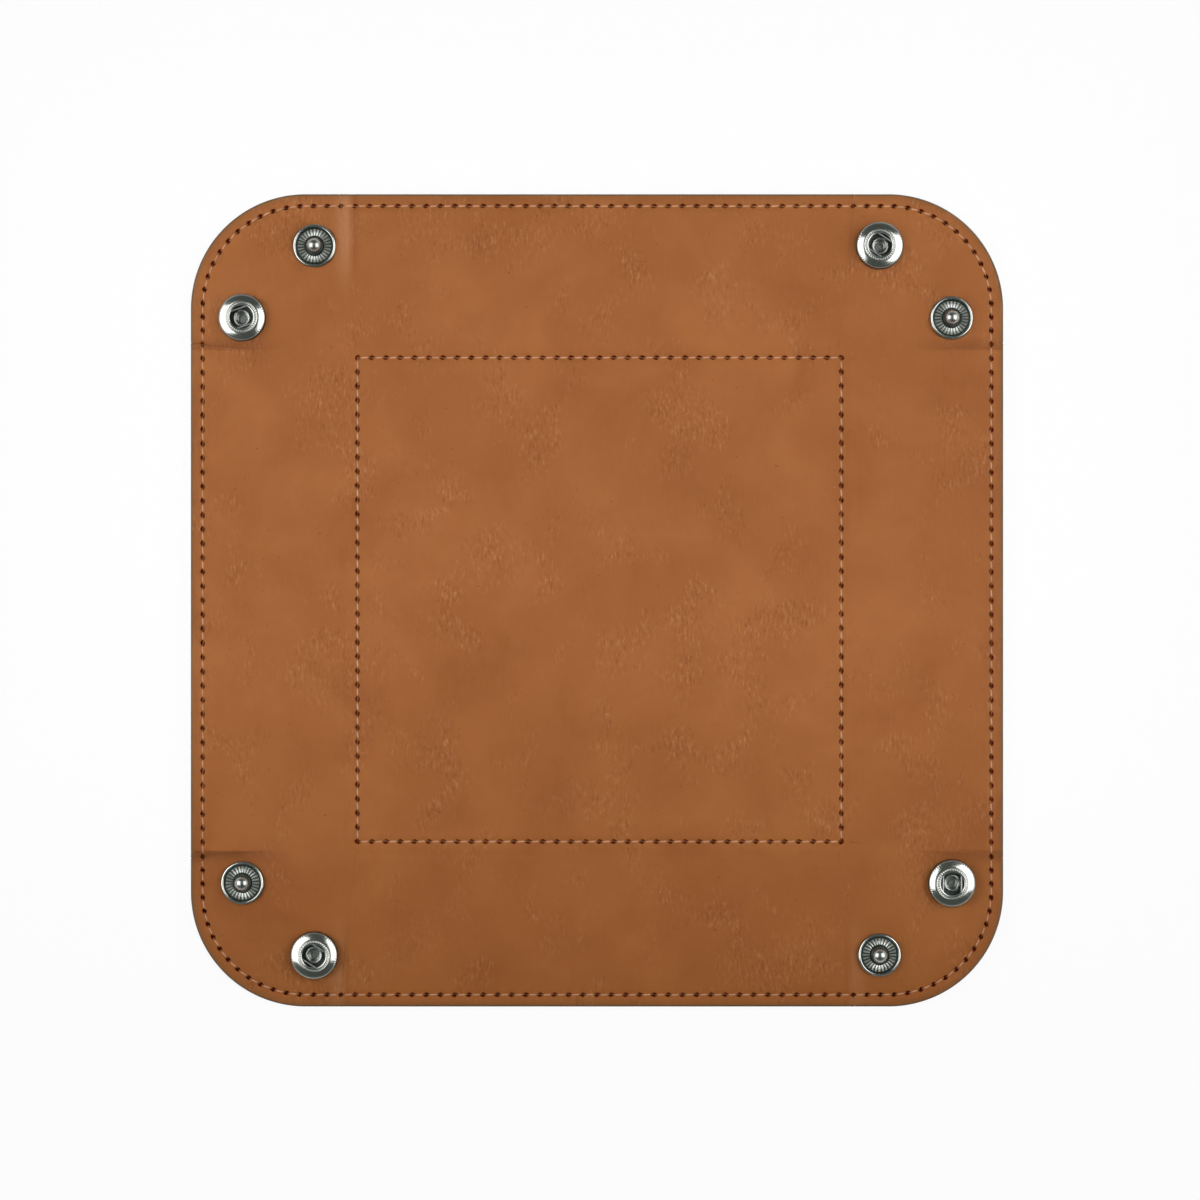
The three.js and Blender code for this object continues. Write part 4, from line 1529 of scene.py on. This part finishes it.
class TRAY_OT_studs(bpy.types.Operator):
    """Make the four snap studs and the rivets that hold them"""

    bl_idname = "tray.studs"
    bl_label = "Studs"

    def execute(self, context):
        lay = Layout(context.scene)
        bright, brushed_dim, satin, dark = snap_materials(context.scene)[:4]
        for corner in CORNERS:
            bm = bmesh.new()
            self.add_stud(bm, context.scene.tray_snaps.flutes)
            place_snap(bm, f"{corner}_stud", lay)
            stud = new_object(f"{corner}_snap_stud", bm, [bright, brushed_dim, satin, dark])
            bm = bmesh.new()
            spin_profile(bm, rounded(RIVET_PROFILE, 0.2), HEAD_STEPS)
            place_snap(bm, f"{corner}_stud", lay)
            rivet = new_object(f"{corner}_rivet", bm, [satin])
            for piece, node in ((stud, "stud"), (rivet, "stud_rivet")):
                smooth(piece, SNAP_SHARP)
                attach(piece, f"{corner}_stud_flap")
                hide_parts(f"{corner}_{node}")
        return {"FINISHED"}

    def add_stud(self, bm, flutes):
        """A stud with a rolled rim, a fluted ring and a ball on a neck."""
        spin_profile(bm, rounded(STUD_PROFILE, 0.12, 3), flutes * FLUTE_STEPS)
        for vert in bm.verts:
            radius = math.hypot(vert.co.x, vert.co.y)
            if FLUTES_START < radius < FLUTES_END and vert.co.z > FLUTES_LEVEL:
                window = ease(0, FLUTE_INNER_END, radius - FLUTES_START)
                window *= ease(0, FLUTE_OUTER_END, FLUTES_END - radius)
                rise = FLUTE_RISE + FLUTE_SLOPE * (radius - FLUTES_START)
                vert.co.z += rise * window * max(0, 1 - flute_offset(vert.co, flutes) / FLUTE_SIDE)
        # The top of the ball gets the darker brushed nickel, a painted dim reflection. The ball's flank, the
        # recess, the flute troughs, the groove and the edge get the dark nickel, painted shade.
        for face in bm.faces:
            middle = face.calc_center_median()
            radius = math.hypot(middle.x, middle.y)
            is_flute = RECESS_END < radius < FLUTES_END
            is_recess = BALL_TOP < radius < RECESS_END or FLUTES_END < radius < GROOVE_END
            is_trough = is_flute and flute_offset(middle, flutes) > FLUTE_SIDE
            if middle.z < STUD_UNDERSIDE:
                continue
            if radius < BALL_TOP:
                face.material_index = 1
            elif is_recess or is_trough or radius > STUD_EDGE:
                face.material_index = 3
            elif is_flute:
                face.material_index = 2


class TRAY_OT_sockets(bpy.types.Operator):
    """Make the four snap sockets with their caps and spring wires"""

    bl_idname = "tray.sockets"
    bl_label = "Sockets"

    def execute(self, context):
        lay = Layout(context.scene)
        snaps = context.scene.tray_snaps
        bright, brushed_dim, satin, dark, steel = snap_materials(context.scene)
        for corner in CORNERS:
            bm = bmesh.new()
            self.add_socket(bm, snaps)
            place_snap(bm, f"{corner}_socket", lay)
            socket = new_object(f"{corner}_snap_socket", bm, [bright, dark])
            bm = bmesh.new()
            spin_profile(bm, rounded(CAP_PROFILE, 0.15), HEAD_STEPS)
            # The cap's post and cup get the darker brushed nickel: painted shade.
            for face in bm.faces:
                if face.calc_center_median().z > POST_INSIDE:
                    face.material_index = 1
            place_snap(bm, f"{corner}_socket", lay)
            cap = new_object(f"{corner}_cap", bm, [satin, brushed_dim])
            spring = self.make_spring(corner, lay, snaps, steel)
            for piece, node in ((socket, "socket"), (cap, "socket_cap"), (spring, "socket_spring")):
                smooth(piece, SNAP_SHARP)
                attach(piece, f"{corner}_socket_flap")
                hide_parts(f"{corner}_{node}")
        return {"FINISHED"}

    def add_socket(self, bm, snaps):
        """A socket with fine teeth round its edge and beads round its mouth."""
        spin_profile(bm, rounded(SOCKET_PROFILE, 0.1, 3), SOCKET_STEPS, closed=True)
        for vert in bm.verts:
            radius = math.hypot(vert.co.x, vert.co.y)
            turn = math.atan2(vert.co.y, vert.co.x)
            if vert.co.z > BEAD_LEVEL:
                window = hump(radius - BEAD_RING, BEAD_REACH)
                vert.co.z += BEAD_RISE * window * (math.cos(snaps.beads * turn) - 0.5)
            if radius > TEETH_START:
                window = hump(vert.co.z - TOOTH_LEVEL, TOOTH_REACH)
                swell = 1 + TOOTH_DEPTH / radius * window * (math.cos(snaps.teeth * turn) - 0.4)
                vert.co.x *= swell
                vert.co.y *= swell
        bm.normal_update()
        # The inside's ceiling, floor and walls and the outer edge get the dark nickel, painted shade; the rest
        # is bright nickel.
        for face in bm.faces:
            middle = face.calc_center_median()
            radius = math.hypot(middle.x, middle.y)
            faces_axis = face.normal.x * middle.x + face.normal.y * middle.y < 0
            is_ceiling = face.normal.z < -0.3 and middle.z > INSIDE_START
            is_floor = INSIDE_START < middle.z < INSIDE_FLOOR and radius < TEETH_START
            is_edge = radius > SOCKET_EDGE
            is_wall = faces_axis and middle.z < MOUTH_LEVEL
            face.material_index = 1 if is_ceiling or is_floor or is_edge or is_wall else 0

    def make_spring(self, corner, lay, snaps, steel):
        """A hairpin of wire whose two legs cross the socket's mouth."""
        centre = node_centre(f"{corner}_socket")
        turn = Matrix.Rotation(math.radians(WIRE_TURN[corner]), 3, "Z")
        leg = snaps.wire_half
        points = [Vector((SPRING_BACK, -leg, 0)), Vector((SPRING_FRONT, -leg, 0))]
        for step in range(1, 12):
            bend = -QUARTER_TURN + step * math.pi / 12
            points.append(Vector((SPRING_FRONT + leg * math.cos(bend), leg * math.sin(bend), 0)))
        points += [Vector((SPRING_FRONT, leg, 0)), Vector((SPRING_BACK, leg, 0))]
        curve = bpy.data.curves.new("spring_path", "CURVE")
        curve.dimensions = "3D"
        curve.bevel_depth = snaps.wire
        curve.bevel_resolution = 3
        curve.use_fill_caps = True
        path = curve.splines.new("POLY")
        path.points.add(len(points) - 1)
        for point, place in zip(path.points, points):
            spot = turn @ place
            point.co = (centre.x + spot.x, centre.y + spot.y, lay.top + SPRING_LEVEL, 1)
        holder = bpy.data.objects.new("spring_path", curve)
        bpy.context.scene.collection.objects.link(holder)
        graph = bpy.context.evaluated_depsgraph_get()
        mesh = bpy.data.meshes.new_from_object(holder.evaluated_get(graph))
        bpy.data.objects.remove(holder)
        bpy.data.curves.remove(curve)
        mesh.name = f"{corner}_spring"
        mesh.materials.clear()
        mesh.materials.append(steel)
        piece = bpy.data.objects.new(f"{corner}_spring", mesh)
        bpy.context.scene.collection.objects.link(piece)
        return piece


class TRAY_OT_boards(bpy.types.Operator):
    """Give the boards between the sheets their finish"""

    bl_idname = "tray.boards"
    bl_label = "Boards"

    def execute(self, context):
        board = material_once("greyboard", board_material, context.scene.tray_colours)
        for node in ["base_board"] + [f"{wall}_wall_board" for wall in WALLS]:
            piece = frame["nodes"][node]
            piece.data.materials.clear()
            piece.data.materials.append(board)
        return {"FINISHED"}


# The white floor: its distance under the tray, its paper, and the share of it that shows at full white.
FLOOR_GAP = 0.2 * MM
PAPER_WHITE = (0.92, 0.92, 0.92)
FLOOR_GLOW = 0.93

# Light of the room near the horizon and overhead, and the heights between which one turns into the other.
HORIZON = (0.42, 0.42, 0.42, 1)
OVERHEAD = (0.06, 0.068, 0.06, 1)
HORIZON_TOP, OVERHEAD_START = 0.1, 0.5


class TRAY_OT_stage(bpy.types.Operator):
    """Set up the camera, the softboxes and the white floor"""

    bl_idname = "tray.stage"
    bl_label = "Stage"

    def execute(self, context):
        scene = context.scene
        stage = scene.tray_stage
        scene.view_settings.view_transform = "Standard"
        self.add_camera(scene, stage)
        for side in (-1, 1):
            out = side * math.sin(stage.lamp_tilt) * stage.lamp_distance
            place = Vector((out, stage.lamp_shift, math.cos(stage.lamp_tilt) * stage.lamp_distance))
            size = (stage.lamp_width, stage.lamp_length)
            softbox = self.add_lamp(scene, "softbox", size, stage.lamp_power, place)
            softbox.rotation_quaternion = (-place).to_track_quat("-Z", "Y")
        place = Vector((0, stage.pool_shift, stage.pool_height))
        size = (stage.pool_width, stage.pool_length)
        pool = self.add_lamp(scene, "overhead", size, stage.pool_power, place)
        pool.data.spread = stage.pool_spread
        pool.visible_glossy = False
        self.add_floor(stage)
        self.light_world(scene)
        return {"FINISHED"}

    def add_camera(self, scene, stage):
        """A camera straight above, with the tray's back at the top of the picture."""
        camera = bpy.data.cameras.new("camera")
        camera.sensor_width = 36
        reach = stage.camera_height - scene.tray_sheet.top
        camera.lens = camera.sensor_width * reach / stage.frame_width
        camera.clip_start = 0.01
        camera.clip_end = 100
        holder = bpy.data.objects.new("camera", camera)
        holder.location = (stage.shift_x, stage.shift_y, stage.camera_height)
        scene.collection.objects.link(holder)
        scene.camera = holder

    def add_lamp(self, scene, name, size, power, place):
        """A flat lamp that shines straight down until it is turned."""
        lamp = bpy.data.lights.new(name, "AREA")
        lamp.shape = "RECTANGLE"
        lamp.size, lamp.size_y = size
        lamp.energy = power
        holder = bpy.data.objects.new(name, lamp)
        holder.location = place
        holder.rotation_mode = "QUATERNION"
        scene.collection.objects.link(holder)
        return holder

    def add_floor(self, stage):
        """A wide white floor that still takes the tray's shadow."""
        bm = bmesh.new()
        bmesh.ops.create_grid(bm, x_segments=8, y_segments=8, size=stage.floor_size / 2)
        bmesh.ops.translate(bm, verts=bm.verts, vec=(0, 0, -FLOOR_GAP))
        new_object("floor", bm, [self.floor_material()])

    def floor_material(self):
        """White paper, shown mostly at full white and partly by the light that reaches it."""
        made = Finish("white_floor")
        made.finish(Base_Color=PAPER_WHITE, Roughness=0.9)
        made.shader.inputs["Specular IOR Level"].default_value = 0.0
        rays = made.node("ShaderNodeLightPath")
        seen = made.sum("MAXIMUM", rays.outputs["Is Camera Ray"], rays.outputs["Is Glossy Ray"])
        seen = made.sum("MAXIMUM", seen, rays.outputs["Is Transmission Ray"])
        glow = made.node("ShaderNodeEmission")
        share = made.sum("MULTIPLY", seen, FLOOR_GLOW)
        inputs = {0: share, 1: made.shader.outputs["BSDF"], 2: glow.outputs["Emission"]}
        mix = made.node("ShaderNodeMixShader", inputs)
        output = next(node for node in made.tree.nodes if node.type == "OUTPUT_MATERIAL")
        made.put(output.inputs["Surface"], mix.outputs["Shader"])
        return made.material

    def light_world(self, scene):
        """A dim room, pale only near the horizon."""
        world = bpy.data.worlds.new("room")
        world.use_nodes = True
        scene.world = world
        tree = world.node_tree
        tree.nodes.clear()
        output = tree.nodes.new("ShaderNodeOutputWorld")
        sky = tree.nodes.new("ShaderNodeBackground")
        place = tree.nodes.new("ShaderNodeTexCoord")
        parts = tree.nodes.new("ShaderNodeSeparateXYZ")
        height = tree.nodes.new("ShaderNodeMapRange")
        height.inputs["From Min"].default_value = HORIZON_TOP
        height.inputs["From Max"].default_value = OVERHEAD_START
        mix = tree.nodes.new("ShaderNodeMix")
        mix.data_type = "RGBA"
        mix.inputs[6].default_value = HORIZON
        mix.inputs[7].default_value = OVERHEAD
        tree.links.new(place.outputs["Generated"], parts.inputs[0])
        tree.links.new(parts.outputs["Z"], height.inputs["Value"])
        tree.links.new(height.outputs["Result"], mix.inputs[0])
        tree.links.new(mix.outputs[2], sky.inputs["Color"])
        tree.links.new(sky.outputs["Background"], output.inputs["Surface"])


class TRAY_PT_panel(bpy.types.Panel):
    """Lists the tray's pieces in the sidebar"""

    bl_idname = "TRAY_PT_panel"
    bl_label = "Dice tray"
    bl_space_type = "VIEW_3D"
    bl_region_type = "UI"
    bl_category = "Dice tray"

    def draw(self, context):
        column = self.layout.column()
        for operator in OPERATORS:
            column.operator(operator.bl_idname)


OPERATORS = (
    TRAY_OT_stage,
    TRAY_OT_floor_sheets,
    TRAY_OT_wall_sheets,
    TRAY_OT_corner_sheets,
    TRAY_OT_corner_gussets,
    TRAY_OT_crease_fillers,
    TRAY_OT_seams,
    TRAY_OT_studs,
    TRAY_OT_sockets,
    TRAY_OT_boards,
)
POINTERS = {
    "tray_sheet": TraySheetSizes,
    "tray_seams": TraySeamSizes,
    "tray_snaps": TraySnapSizes,
    "tray_colours": TrayColours,
    "tray_stage": TrayStage,
}
CLASSES = (*POINTERS.values(), *OPERATORS, TRAY_PT_panel)


def register():
    for kind in CLASSES:
        bpy.utils.register_class(kind)
    for name, group in POINTERS.items():
        setattr(bpy.types.Scene, name, PointerProperty(type=group))


def unregister():
    for name in POINTERS:
        delattr(bpy.types.Scene, name)
    for kind in reversed(CLASSES):
        bpy.utils.unregister_class(kind)


def main():
    """Makes the whole tray."""
    register()
    bpy.ops.tray.stage()
    bpy.ops.tray.floor_sheets()
    bpy.ops.tray.wall_sheets()
    bpy.ops.tray.corner_sheets()
    bpy.ops.tray.corner_gussets()
    bpy.ops.tray.crease_fillers()
    bpy.ops.tray.seams()
    bpy.ops.tray.studs()
    bpy.ops.tray.sockets()
    bpy.ops.tray.boards()


if __name__ == "__main__":
    main()
